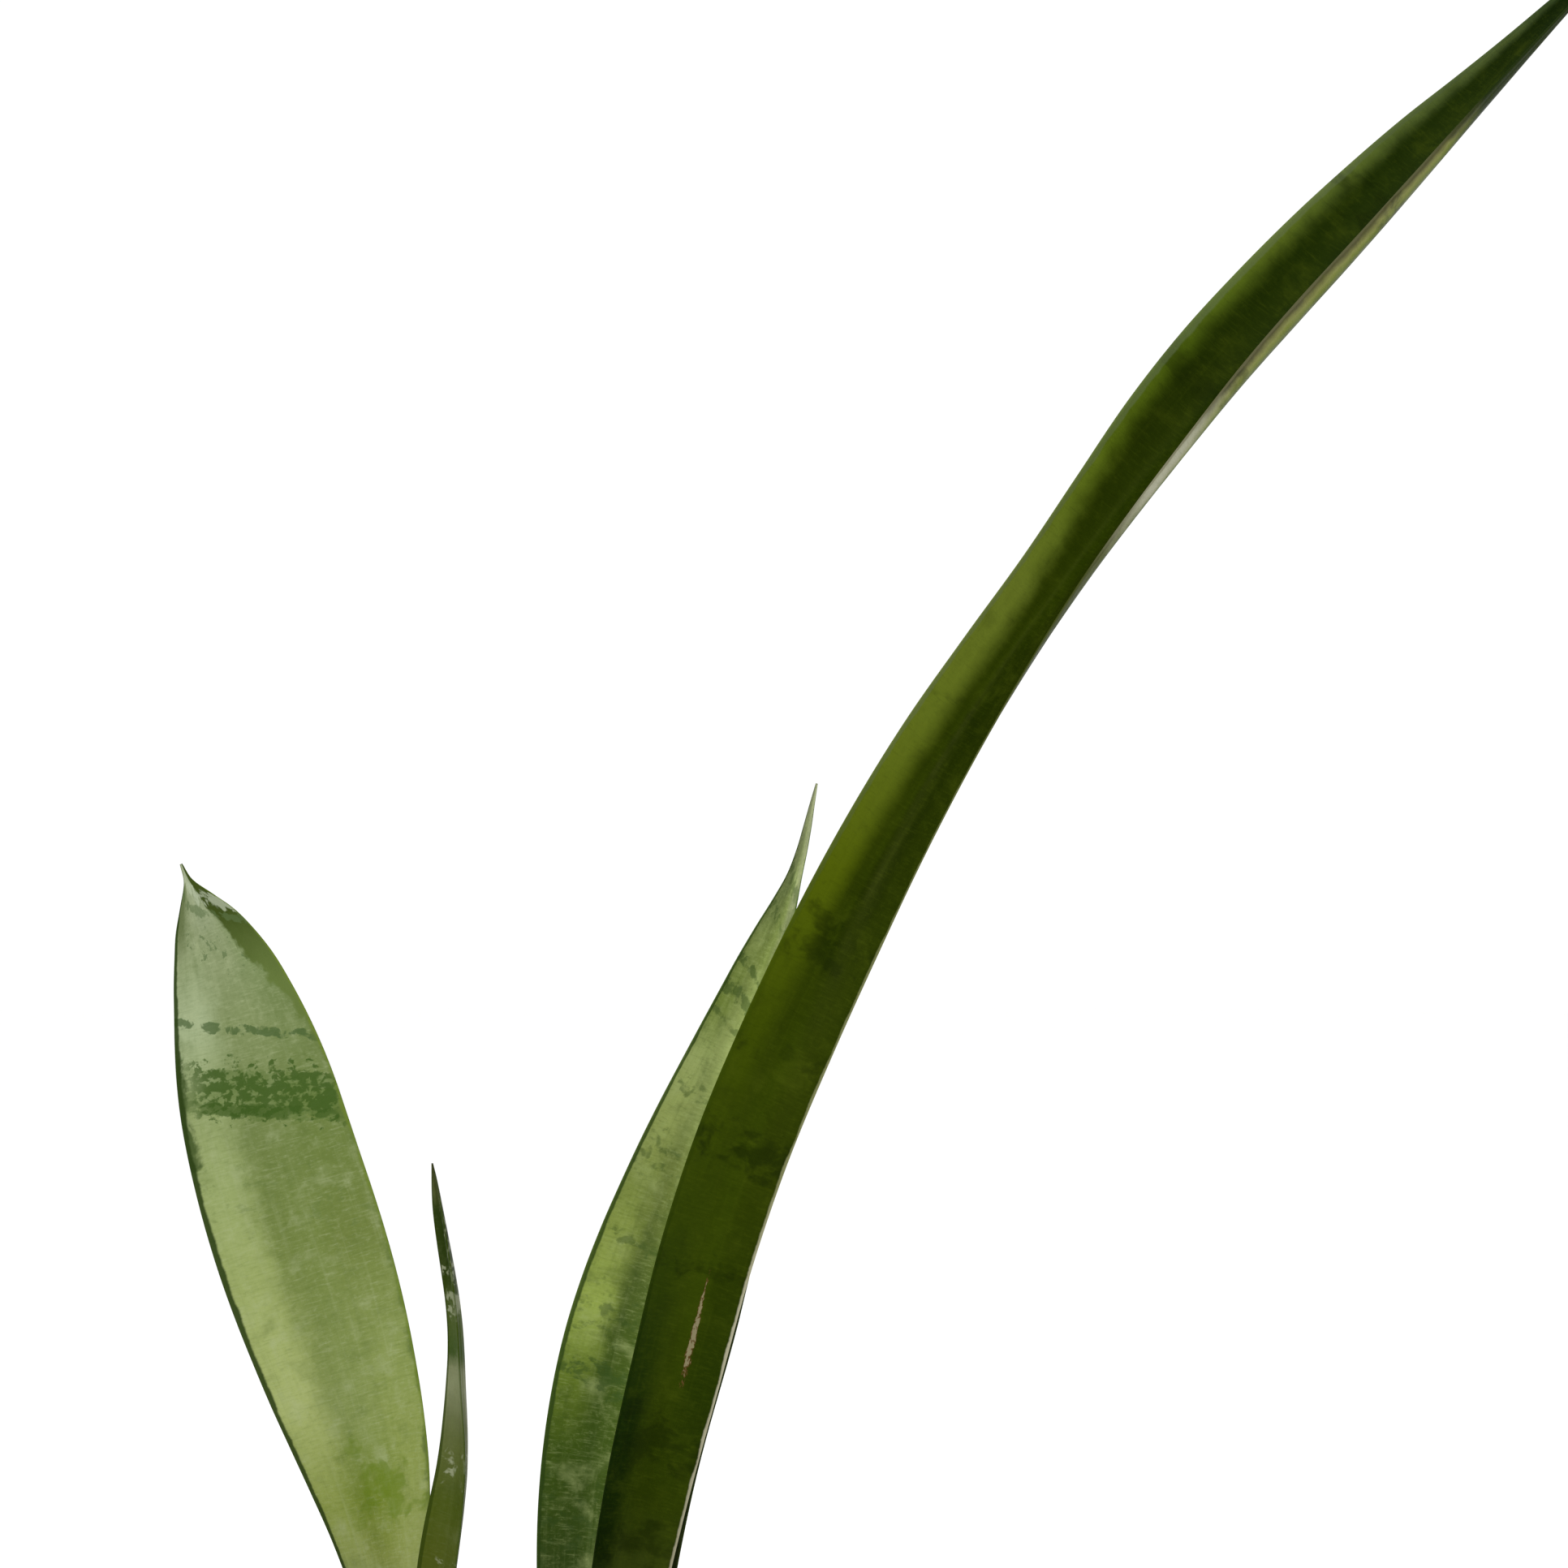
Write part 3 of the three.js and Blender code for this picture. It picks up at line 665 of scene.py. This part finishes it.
def medium_leaf_skin(name, size):
    # The left ramp's bright yellow-green is painted light on the left flank.
    left = [
        (0, 150, 158, 100), (0.25, 54, 74, 26), (0.35, 64, 86, 24), (0.41, 98, 118, 40), (0.48, 150, 168, 80),
        (0.54, 138, 154, 74), (0.6, 126, 141, 68), (0.66, 150, 163, 92), (0.72, 156, 170, 102),
        (0.78, 116, 134, 60), (0.84, 128, 143, 78), (0.89, 120, 134, 80), (1, 136, 140, 112),
    ]
    middle = [
        (0, 150, 158, 100), (0.25, 56, 77, 27), (0.4, 62, 83, 26), (0.48, 70, 88, 34), (0.56, 96, 110, 52),
        (0.62, 108, 121, 60), (0.68, 130, 143, 82), (0.74, 140, 153, 90), (0.83, 112, 127, 64),
        (0.89, 108, 121, 68), (1, 130, 134, 106),
    ]
    right = [
        (0, 150, 158, 100), (0.3, 56, 74, 26), (0.5, 92, 108, 48), (0.75, 112, 124, 70), (1, 130, 134, 106),
    ]
    skin = LeafSkin(name, size, (left, middle, right), MEDIUM_LEAF, seed=12.4)
    skin.grain(tone(168, 182, 118), tone(48, 70, 26), 1.25)
    skin.bands(tone(56, 80, 34), (
        (0.317, 0.0035, 0.6, 0.6), (0.328, 0.002, 0.7, 0.65), (0.306, 0.0015, 0.5, 0.5), (0.168, 0.006, 0.5, 0.65),
        (0.25, 0.012, 0.2, 0.5), (0.19, 0.014, 0.2, 0.5), (0.366, 0.004, 0.6, 0.5), (0.11, 0.03, 0.2, 0.5),
        (0.218, 0.004, 0.3, 0.5), (0.278, 0.005, 0.2, 0.5), (0.35, 0.003, 0.4, 0.5),
    ), tilt=0.006, lumps=240, softness=0.08)
    skin.margin(-1, 0.9, tone(50, 72, 26), 0.9)
    skin.margin(1, 0.93, tone(60, 84, 30), 0.85)
    return skin.finish()


def young_leaf_skin(name, size):
    along = [
        (0, 150, 156, 100), (0.25, 84, 96, 34), (0.42, 78, 89, 24), (0.5, 74, 88, 22), (0.58, 92, 102, 50),
        (0.63, 108, 115, 76), (0.675, 140, 146, 110), (0.7, 134, 140, 104), (0.72, 62, 84, 34),
        (0.78, 78, 94, 40), (0.83, 40, 58, 4), (0.86, 36, 54, 3), (0.93, 30, 50, 2), (0.955, 64, 70, 32),
        (1, 44, 48, 18),
    ]
    skin = LeafSkin(name, size, [along] * 3, YOUNG_LEAF, seed=21.9, ragged=0.02)
    skin.grain(skin.hue(120, 130, 84), skin.hue(44, 64, 12), 0.7)
    grey = skin.hue(146, 152, 122, 1.2)
    skin.bands(grey, (
        (0.2, 0.006, 0.5, 0.8), (0.212, 0.004, 0.12, 0.8), (0.14, 0.01, 0.1, 0.8), (0.09, 0.02, 0.25, 0.8),
    ), lumps=190)
    skin.stain(grey, 0.8, skin.band(0.222, 0.03, 0.16, lumps=300), skin.span(skin.across, -0.1, 0.3))
    skin.margin(-1, 0.84, skin.hue(44, 62, 10), 0.75)
    skin.margin(1, 0.9, skin.hue(56, 76, 18), 0.6)
    return skin.finish()


def shaded_leaf_skin(name, size):
    along = [(0, 120, 126, 74), (0.3, 40, 52, 22), (0.6, 42, 54, 22), (1, 60, 70, 34)]
    skin = LeafSkin(name, size, [along] * 3, SHADED_LEAF, seed=30.2)
    skin.grain(skin.hue(86, 98, 50), skin.hue(16, 30, 6), 0.9)
    places = (0.12, 0.155, 0.185, 0.23, 0.262)
    skin.bands(skin.hue(16, 32, 8), [(centre, 0.007, 0.6, 0.7) for centre in places], lumps=220)
    for side in (-1, 1):
        skin.margin(side, 0.93, skin.hue(60, 72, 34), 0.7)
    return skin.finish()


# %% Make the five leaves
LEAVES = [
    ("leaf_tall_arching", tall_leaf_skin, "dark_olive_leaf"),
    ("leaf_broad_pale", broad_leaf_skin, "silver_banded_leaf"),
    ("leaf_small_twisted", young_leaf_skin, "mottled_young_leaf"),
    ("leaf_medium_pale", medium_leaf_skin, "yellow_green_leaf"),
    ("leaf_dark_behind", shaded_leaf_skin, "shaded_green_leaf"),
]
for number, (node, make_skin, name) in enumerate(LEAVES):
    rows = blade_rows(leaf_stations(node), seed=4.7 * number)
    leaf_length = rows[-1][0][2]
    half_width = max((row[0][0] - row[COLUMNS][0]).length for row in rows) / 2
    material = make_skin(name, (leaf_length, half_width))
    make_piece(loft(rows), node.replace("leaf", "blade"), material, node)
    print(f"{node} is {leaf_length / MM:.0f} mm along its middle and {2 * half_width / MM:.0f} mm broad")

# %% [markdown]
# ## The clay pot
# A clay pot is a solid of revolution, so the natural tool is a spin. The pot's outline is read off the CAD pot, along
# the meridian that points to +X, its corners are bevelled, and it is spun round the pot's axis. The floor has three
# drainage holes, so it isn't spun: each of its two faces is filled between the wall and the holes' circles, and the
# holes' walls bridge one face to the other.

# %% Pot sizes
POT_STEPS = 160
HOLE_STEPS = 32
CORNER_ROUND = 0.9 * MM
WALL_WOBBLE = 0.16 * MM
HALF_WALL = 3.5 * MM
LONGEST_RUN = 3 * MM  # longer edges of the outline are divided
FLOOR_START = 0.93  # where the spun part of the floor starts, as a share of its radius
HOLE_ROUND = 0.7 * MM
HOLES_WITHIN = (5 * MM, 45 * MM)  # of the axis
FIRST_HOLE, HOLE_ANGLE = 30, 120  # degrees


# %% Read the outline and the holes
def pot_outline():
    """The wall's outline from the foot, over the rim, down to the floor, as points in the XZ plane."""
    bm = merged_copy("pot")
    meridian = {v for v in bm.verts if abs(v.co.y) < LEVEL and v.co.x > 10 * MM}
    low = min(v.co.z for v in meridian)
    start = max((v for v in meridian if v.co.z < low + LEVEL), key=lambda v: v.co.x)
    walk = [start]
    while True:
        neighbours = [e.other_vert(walk[-1]) for e in walk[-1].link_edges]
        onward = [v for v in neighbours if v in meridian and v not in walk]
        if not onward:
            break
        walk.append(max(onward, key=lambda v: v.co.x + v.co.z if len(walk) < 4 else -v.co.z))
    outline = [v.co.copy() for v in walk]
    bm.free()
    return outline


def drain_holes():
    """Centres and radius of the drainage holes."""
    bm = merged_copy("pot")
    near, far = HOLES_WITHIN
    floor = [v.co for v in bm.verts if abs(v.co.z) < LEVEL and near < v.co.xy.length < far]
    groups = {}
    for co in floor:
        turn = math.degrees(math.atan2(co.y, co.x)) - FIRST_HOLE
        groups.setdefault(round(turn / HOLE_ANGLE) % 3, []).append(co.copy())
    centres = [sum(group, Vector()) / len(group) for group in groups.values()]
    radius = (groups[0][0] - sum(groups[0], Vector()) / len(groups[0])).length
    bm.free()
    return centres, radius


outline = pot_outline()
hole_centres, hole_radius = drain_holes()
print("pot outline, mm:", [(round(p.x / MM, 1), round(p.z / MM, 1)) for p in outline])
print(f"{len(hole_centres)} drainage holes of radius {hole_radius / MM:.1f} mm")


# %% Spin the wall and fill the floor
def full_spin(bm, steps):
    bmesh.ops.spin(
        bm, geom=bm.verts[:] + bm.edges[:], axis=(0, 0, 1), angle=math.tau, steps=steps, use_merge=True,
    )
    bmesh.ops.remove_doubles(bm, verts=bm.verts, dist=0.001 * MM)


def round_off(bm, geom, radius, affect, segments):
    bmesh.ops.bevel(
        bm, geom=geom, offset=radius, affect=affect, segments=segments, profile=0.5, material=-1,
        clamp_overlap=True,
    )


def draw_line(bm, points):
    verts = [bm.verts.new(p) for p in points]
    for a, b in zip(verts, verts[1:]):
        bm.edges.new((a, b))
    return verts


def spin_wall(bm, outline):
    """Round the outline's corners, divide its long runs, and spin it round the Z axis."""
    first = Vector((outline[0].x * FLOOR_START, 0, outline[0].z))
    last = Vector((outline[-1].x * FLOOR_START, 0, outline[-1].z))
    verts = draw_line(bm, [first, *outline, last])
    round_off(bm, verts[1:-1], CORNER_ROUND, "VERTICES", 4)
    for edge in list(bm.edges):
        cuts = int(edge.calc_length() / LONGEST_RUN)
        if cuts:
            bmesh.ops.subdivide_edges(bm, edges=[edge], cuts=cuts)
    full_spin(bm, POT_STEPS)


def pierce_floor(bm, levels):
    """Close the floor between the wall and the drainage holes, and join its two faces through the holes."""
    circles = []
    for level in levels:
        border = [e for e in bm.edges if e.is_boundary and abs(e.verts[0].co.z - level) < LEVEL]
        level_circles = []
        for centre in hole_centres:
            place = Matrix.Translation((centre.x, centre.y, level))
            made = bmesh.ops.create_circle(bm, radius=hole_radius, segments=HOLE_STEPS, matrix=place)
            level_circles.append(list({e for v in made["verts"] for e in v.link_edges}))
        edges = border + [e for circle in level_circles for e in circle]
        bmesh.ops.triangle_fill(bm, use_beauty=True, edges=edges, normal=(0, 0, 1))
        circles.append(level_circles)
    rims = []
    for low, high in zip(*circles):
        bmesh.ops.bridge_loops(bm, edges=low + high)
        rims += low + high
    round_off(bm, rims, HOLE_ROUND, "EDGES", 3)


# %% [markdown]
# ## Fired clay
# Unglazed terracotta is matt and slightly gritty. Its colour drifts from patch to patch, fine grog shows as light
# and dark specks, and the wheel leaves faint level lines. Water that dries through the wall leaves a chalky bloom,
# strongest under the rim band and near the foot, and the inside stays darker with damp just above the soil.


# %% Finish of the pot
CLAY = 0.72  # how much light the clay gives back, against the colours below
CHALK_UNDER_RIM = (0.085, 0.119, 0.121, 0.128)  # heights where it starts, is full, is still full and ends
CHALK_AT_FOOT = (0.05, 0.008)  # heights where it starts and is full
DAMP_EDGE = (0.142, 0.131)  # heights where the inside is dry and is damp


def clay_finish():
    clay = Finish("terracotta", specular=0.25, roughness=0.88)
    place = clay.place()
    x, y, z = clay.node("SeparateXYZ", {0: place}).outputs
    radius = clay.maths("SQRT", clay.maths("MULTIPLY_ADD", x, x, clay.product(y, y)))

    drift = clay.noise(place, 14, 4, 0.55, 0.3)
    colour = clay.mix(clay.span(drift, 0.3, 0.7), tone(180, 98, 62, CLAY), tone(208, 128, 88, CLAY))
    grog = clay.noise(place, 900, 2, 0.7)
    colour = clay.veil(colour, grog, 0.6, 0.7, 0.45, tone(230, 176, 138, CLAY))
    colour = clay.veil(colour, grog, 0.38, 0.28, 0.5, tone(112, 60, 40, CLAY))
    line_place = clay.vector(clay.product(radius, 60), 0.0, clay.product(z, 700))
    lines = clay.noise(line_place, 1, 3, 0.6)
    colour = clay.veil(colour, lines, 0.55, 0.75, 0.2, tone(150, 82, 54, CLAY))

    foot, neck, rim_edge = outline[1], outline[2], outline[4]
    under_rim = clay.window(z, *CHALK_UNDER_RIM)
    near_foot = clay.span(z, *CHALK_AT_FOOT)
    chalky = clay.maths("MAXIMUM", clay.product(under_rim, 0.12), clay.product(near_foot, 0.13))
    bloom = clay.maths("ADD", clay.noise(place, 34, 5, 0.65, 0.5), chalky)
    colour = clay.veil(colour, bloom, 0.56, 0.8, 0.6, tone(224, 200, 178, CLAY))

    wall_slope = (neck.x - foot.x) / (neck.z - foot.z)
    middle_wall = clay.maths("MULTIPLY_ADD", z, wall_slope, foot.x - HALF_WALL)
    band_step = clay.span(z, neck.z + MM, neck.z + 3 * MM, 0, rim_edge.x - neck.x)
    middle_wall = clay.maths("ADD", middle_wall, band_step)
    inside = clay.span(clay.maths("SUBTRACT", radius, middle_wall), MM, -MM)
    inside = clay.product(inside, clay.span(z, 2 * MM, 4 * MM))
    damp_edge = clay.maths("ADD", z, clay.span(clay.noise(place, 60, 3), 0.3, 0.7, -4 * MM, 4 * MM))
    damp = clay.product(inside, clay.span(damp_edge, *DAMP_EDGE, 0, 0.8))
    colour = clay.mix(damp, colour, tone(92, 50, 33, CLAY))

    grit = clay.noise(place, 1500, 3, 0.7)
    normal = clay.bump(grit, 0.35, 0.15 * MM, clay.bump(lines, 0.25, 0.25 * MM))
    clay.put("Roughness", clay.span(damp, 0, 1, 0.9, 0.6))
    return clay.surface(colour, normal)


# %% Make the pot
def make_pot():
    bm = bmesh.new()
    spin_wall(bm, outline)
    pierce_floor(bm, (outline[0].z, outline[-1].z))
    foot_radius = outline[0].x
    top = outline[0].z + max(p.z for p in outline)
    for vertex in bm.verts:
        x, y, z = vertex.co
        if vertex.co.xy.length > foot_radius and MM < z < top - MM:
            wobble = noise.noise(Vector((x * 16, y * 16, z * 30))) - 1
            vertex.co += Vector((x, y, 0)).normalized() * (WALL_WOBBLE * wobble)
    make_piece(bm, "clay_pot", clay_finish(), "pot")


make_pot()

# %% [markdown]
# ## Potting soil
# The soil is peat with bark chips and white perlite. Its body is a spun solid that fills the pot, with a top that
# noise pushes up and down in lumps. That alone looks like a rough cloth, so loose crumbs, chips and grains are
# scattered on it. Each is a ball or a block of a few dozen faces, squeezed and turned at random, and a seeded
# generator makes the same scatter at each run.

# %% Soil sizes
SOIL_RINGS = 64
SOIL_STEPS = 180
WALL_GAP = 0.35 * MM
soil_low, soil_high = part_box("soil")
soil_radius = soil_high.x
SOIL_DOME = 5 * MM
SOIL_SINK = 1.5 * MM  # leaves room for the lumps under the CAD soil's top
SOIL_LUMPS = ((1.5, 70, 1.0), (1.0, 190, 4.0), (0.7, 460, 9.0))  # height in mm, lumps to a metre, seed
MAX_TILT = 0.5  # radians, of a loose bit
scatter = random.Random(11)
print(f"soil of radius {soil_radius / MM:.1f} mm, up to z {soil_high.z / MM:.1f} mm")


def soil_height(x, y):
    """The top of the soil at a place: a low dome with lumps of three sizes."""
    share = min(1.0, math.hypot(x, y) / soil_radius)
    lumps = sum(high * noise.noise(Vector((x * waves, y * waves, seed))) for high, waves, seed in SOIL_LUMPS)
    return soil_high.z - SOIL_DOME * share ** 2 - SOIL_SINK + lumps * MM


# %% The soil's body
def soil_body():
    """The pot's inner outline spun into a solid, with a lumpy top."""
    bm = bmesh.new()
    inner = [p for p in outline if p.x < soil_radius + WALL_GAP + LEVEL and p.z > 5 * MM]
    inner = sorted((p for p in inner if p.z < soil_high.z), key=lambda p: p.z)
    edge_z = soil_high.z - SOIL_DOME
    points = [Vector((0, 0, soil_low.z))] + [Vector((p.x - WALL_GAP, 0, p.z + WALL_GAP)) for p in inner]
    points += [Vector((soil_radius - 0.1 * MM, 0, edge_z - SOIL_SINK))]
    for k in range(SOIL_RINGS - 1, -1, -1):
        points.append(Vector((soil_radius * k / SOIL_RINGS, 0, edge_z)))
    draw_line(bm, points)
    full_spin(bm, SOIL_STEPS)
    for vertex in bm.verts:
        x, y, z = vertex.co
        if abs(z - edge_z) < LEVEL:
            vertex.co.z = soil_height(x, y)
    return bm


# %% Loose bits of one kind
def scatter_bits(make_bit, count, sizes, lift, rim_margin):
    """Many small bits in one bmesh, each with its own tint. Lift is how high a bit's middle lies, in sizes."""
    bm = bmesh.new()
    bit_mesh = bpy.data.meshes.new("bit")
    for _ in range(count):
        size = scatter.uniform(*sizes)
        reach = (soil_radius - rim_margin - size) * math.sqrt(scatter.random())
        turn = scatter.uniform(0, math.tau)
        x, y = reach * math.cos(turn), reach * math.sin(turn)
        tilt = Matrix.Rotation(scatter.uniform(-MAX_TILT, MAX_TILT), 4, "X")
        spin = Matrix.Rotation(scatter.uniform(0, math.tau), 4, "Z")
        place = Matrix.Translation((x, y, soil_height(x, y) + size * lift)) @ tilt @ spin
        bit = bmesh.new()
        tint = bit.verts.layers.float.new("tint")
        make_bit(bit, size)
        bmesh.ops.transform(bit, matrix=place, verts=bit.verts)
        value = scatter.random()
        for vertex in bit.verts:
            vertex[tint] = value
        bit.to_mesh(bit_mesh)
        bit.free()
        bm.from_mesh(bit_mesh)
    bpy.data.meshes.remove(bit_mesh)
    return bm


def crumb(bit, size):
    """A squeezed, knobbly ball."""
    squeeze = Matrix.Diagonal((scatter.uniform(0.7, 1.2), scatter.uniform(0.7, 1.2), scatter.uniform(0.5, 0.9), 1))
    bmesh.ops.create_icosphere(bit, subdivisions=1, radius=size, matrix=squeeze)
    for vertex in bit.verts:
        vertex.co *= scatter.uniform(0.75, 1.2)


def chip(bit, size):
    """A splinter of bark: a flat block with broken, rounded edges."""
    shape = Matrix.Diagonal((size * 2, size * scatter.uniform(0.8, 1.3), size * scatter.uniform(0.3, 0.5), 1))
    bmesh.ops.create_cube(bit, size=1, matrix=shape)
    bmesh.ops.subdivide_edges(bit, edges=bit.edges, cuts=1, use_grid_fill=True)
    for vertex in bit.verts:
        vertex.co *= scatter.uniform(0.78, 1.1)


# %% [markdown]
# ## Finishes of the soil and of what lies on it
# Peat is nearly black where it is damp and brown where it has dried. Bark is redder and fibrous, and perlite is an
# off-white foam with small pits. Crumbs and chips carry a tint of their own, so that no two look the same.


# %% Soil finishes
def peat_finish(name, tinted):
    peat = Finish(name, specular=0.2, roughness=0.95)
    place = peat.place()
    damp = peat.noise(place, 45, 4, 0.6)
    fibres = peat.noise(place, 900, 4, 0.75)
    colour = peat.mix(peat.span(damp, 0.35, 0.65), tone(34, 24, 17), tone(58, 42, 30))
    colour = peat.veil(colour, fibres, 0.5, 0.75, 0.7, tone(92, 68, 46))
    colour = peat.veil(colour, fibres, 0.5, 0.3, 0.8, tone(16, 11, 8))
    if tinted:
        tint = peat.attribute("tint", "Fac")
        colour = peat.veil(colour, tint, 0.5, 1.0, 0.6, tone(104, 76, 50))
        colour = peat.veil(colour, tint, 0.4, 0.0, 0.5, tone(22, 15, 11))
    return peat.surface(colour, peat.bump(fibres, 0.7, 0.5 * MM))


def bark_finish():
    bark = Finish("bark_chip", specular=0.25, roughness=0.85)
    fibres = bark.noise(bark.stretched((1, 0.3, 1)), 1400, 4)
    colour = bark.mix(bark.attribute("tint", "Fac"), tone(74, 44, 28), tone(140, 96, 62))
    colour = bark.veil(colour, fibres, 0.5, 0.7, 0.7, tone(168, 124, 84))
    colour = bark.veil(colour, fibres, 0.5, 0.32, 0.8, tone(46, 27, 18))
    return bark.surface(colour, bark.bump(fibres, 0.6, 0.4 * MM))


def perlite_finish():
    perlite = Finish("perlite_grain", specular=0.3, roughness=0.8)
    place = perlite.place()
    pits = perlite.noise(place, 2200, 3, 0.7)
    colour = perlite.mix(perlite.span(pits, 0.35, 0.6), tone(176, 166, 150), tone(232, 228, 218))
    dust = perlite.noise(place, 700, 2)
    colour = perlite.veil(colour, dust, 0.55, 0.75, 0.5, tone(120, 96, 74))
    return perlite.surface(colour, perlite.bump(pits, 0.6, 0.3 * MM))


# %% Make the soil
make_piece(soil_body(), "soil_body", peat_finish("peat_body", False), "soil")
crumbs = scatter_bits(crumb, count=1500, sizes=(0.6 * MM, 2 * MM), lift=0.25, rim_margin=0.5 * MM)
make_piece(crumbs, "soil_crumbs", peat_finish("peat_crumb", True))
chips = scatter_bits(chip, count=110, sizes=(1.8 * MM, 4.2 * MM), lift=0.12, rim_margin=2 * MM)
make_piece(chips, "bark_chips", bark_finish())
grains = scatter_bits(crumb, count=120, sizes=(0.7 * MM, 1.9 * MM), lift=0.35, rim_margin=MM)
make_piece(grains, "perlite_grains", perlite_finish())

# %% [markdown]
# ## The rhizome
# The rhizome is buried, so its CAD solid stays as it is. It still gets the finish of the real thing: a cream to
# orange skin with darker ring scars every few millimetres, where old scale leaves sat, and fine fibres along it.


# %% Finish of the rhizome
SCAR_SPACING = 9 * MM  # of the ring scars


def rhizome_finish():
    skin = Finish("rhizome_skin", specular=0.35, roughness=0.6)
    place = skin.place()
    x = skin.node("SeparateXYZ", {0: place}).outputs["X"]
    warp = skin.span(skin.noise(place, 60, 2), 0.3, 0.7, -3 * MM, 3 * MM)
    rings = skin.maths("PINGPONG", skin.maths("ADD", x, warp), SCAR_SPACING / 2)
    scars = skin.span(rings, 0.8 * MM, 0.2 * MM)
    fibres = skin.noise(skin.stretched((0.2, 1, 1)), 900, 4)
    colour = skin.mix(skin.span(fibres, 0.3, 0.7), tone(196, 140, 84), tone(226, 184, 128))
    blush = skin.noise(place, 30, 3)
    colour = skin.veil(colour, blush, 0.5, 0.7, 0.6, tone(204, 112, 56))
    colour = skin.mix(skin.product(scars, 0.8), colour, tone(116, 70, 38))
    return skin.surface(colour, skin.bump(skin.maths("SUBTRACT", fibres, scars), 0.5, 0.4 * MM))


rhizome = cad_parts["rhizome"]
rhizome.data.materials.clear()
rhizome.data.materials.append(rhizome_finish())
print("rhizome keeps its CAD solid:", len(rhizome.data.polygons), "triangles")

# %% [markdown]
# ## Stage, light and camera
# A plant shown on white needs a wide pale floor, an even white surround and one soft key light, here from the upper
# left and a little in front. A weak light from the right lifts the shadow side. The camera looks level along +Y,
# from far enough to flatten the view, at the upper part of the leaves.

# %% Floor
FLOOR_RADIUS = 9.0
stage_bm = bmesh.new()
bmesh.ops.create_circle(stage_bm, cap_ends=True, radius=FLOOR_RADIUS, segments=96)
stage_mesh = bpy.data.meshes.new("floor")
stage_bm.to_mesh(stage_mesh)
stage_bm.free()
paint = Finish("pale_floor", specular=0.1, roughness=0.9)
specks = paint.noise(paint.place(), 30, 2)
paint.put("Base Color", paint.mix(specks, (0.94, 0.94, 0.935, 1), (0.97, 0.97, 0.965, 1)))
stage_mesh.materials.append(paint.material)
placed("floor", stage_mesh)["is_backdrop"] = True

# %% Lights
world = bpy.data.worlds.new("surround")
world.use_nodes = True
background = world.node_tree.nodes["Background"]
background.inputs["Color"].default_value = (1.0, 1.0, 1.0, 1.0)
background.inputs["Strength"].default_value = 1.05
bpy.context.scene.world = world
middle = (cad_box[0] + cad_box[1]) / 2


def soft_light(name, offset, size, watts):
    lamp = bpy.data.lights.new(name, "AREA")
    lamp.shape = "DISK"
    lamp.size = size
    lamp.energy = watts
    holder = placed(name, lamp)
    holder.location = middle + Vector(offset)
    holder.rotation_euler = (-Vector(offset)).to_track_quat("-Z", "Y").to_euler()
    holder.visible_camera = False
    print(name, "light at", tuple(round(c, 2) for c in holder.location), "m")


soft_light("key", offset=(-1.6, -1.5, 1.5), size=1.0, watts=42)
soft_light("fill", offset=(1.8, -0.9, 0.6), size=1.2, watts=10)

# %% Camera
VIEW_SIDE = 0.5796  # side of the square seen at the pot's axis
ABOVE_RIM = 0.055  # from the rim to the view's lower edge
LEFT_OF_BROAD_LEAF = 0.0633  # from the broad leaf to the view's left edge
DISTANCE = 1.8
SENSOR = 36.0  # millimetres
lens = bpy.data.cameras.new("camera")
lens.sensor_width = SENSOR
lens.lens = SENSOR * DISTANCE / VIEW_SIDE
lens.clip_end = 50
camera = placed("camera", lens)
left_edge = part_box("leaf_broad_pale")[0].x - LEFT_OF_BROAD_LEAF
bottom_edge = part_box("pot")[1].z + ABOVE_RIM
camera.location = (left_edge + VIEW_SIDE / 2, -DISTANCE, bottom_edge + VIEW_SIDE / 2)
camera.rotation_euler = (math.pi / 2, 0, 0)
bpy.context.scene.camera = camera
bpy.context.scene.view_settings.view_transform = "Standard"
print("camera at", tuple(round(c, 4) for c in camera.location), "lens", round(lens.lens, 1), "mm")

# %% Measure both boxes and print them
seen_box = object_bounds()
sizes = {"cad": [list(corner) for corner in cad_box], "visual": [list(corner) for corner in seen_box]}
for kind, corners in sizes.items():
    print(kind, "box, mm:", [[round(c / MM, 1) for c in corner] for corner in corners])
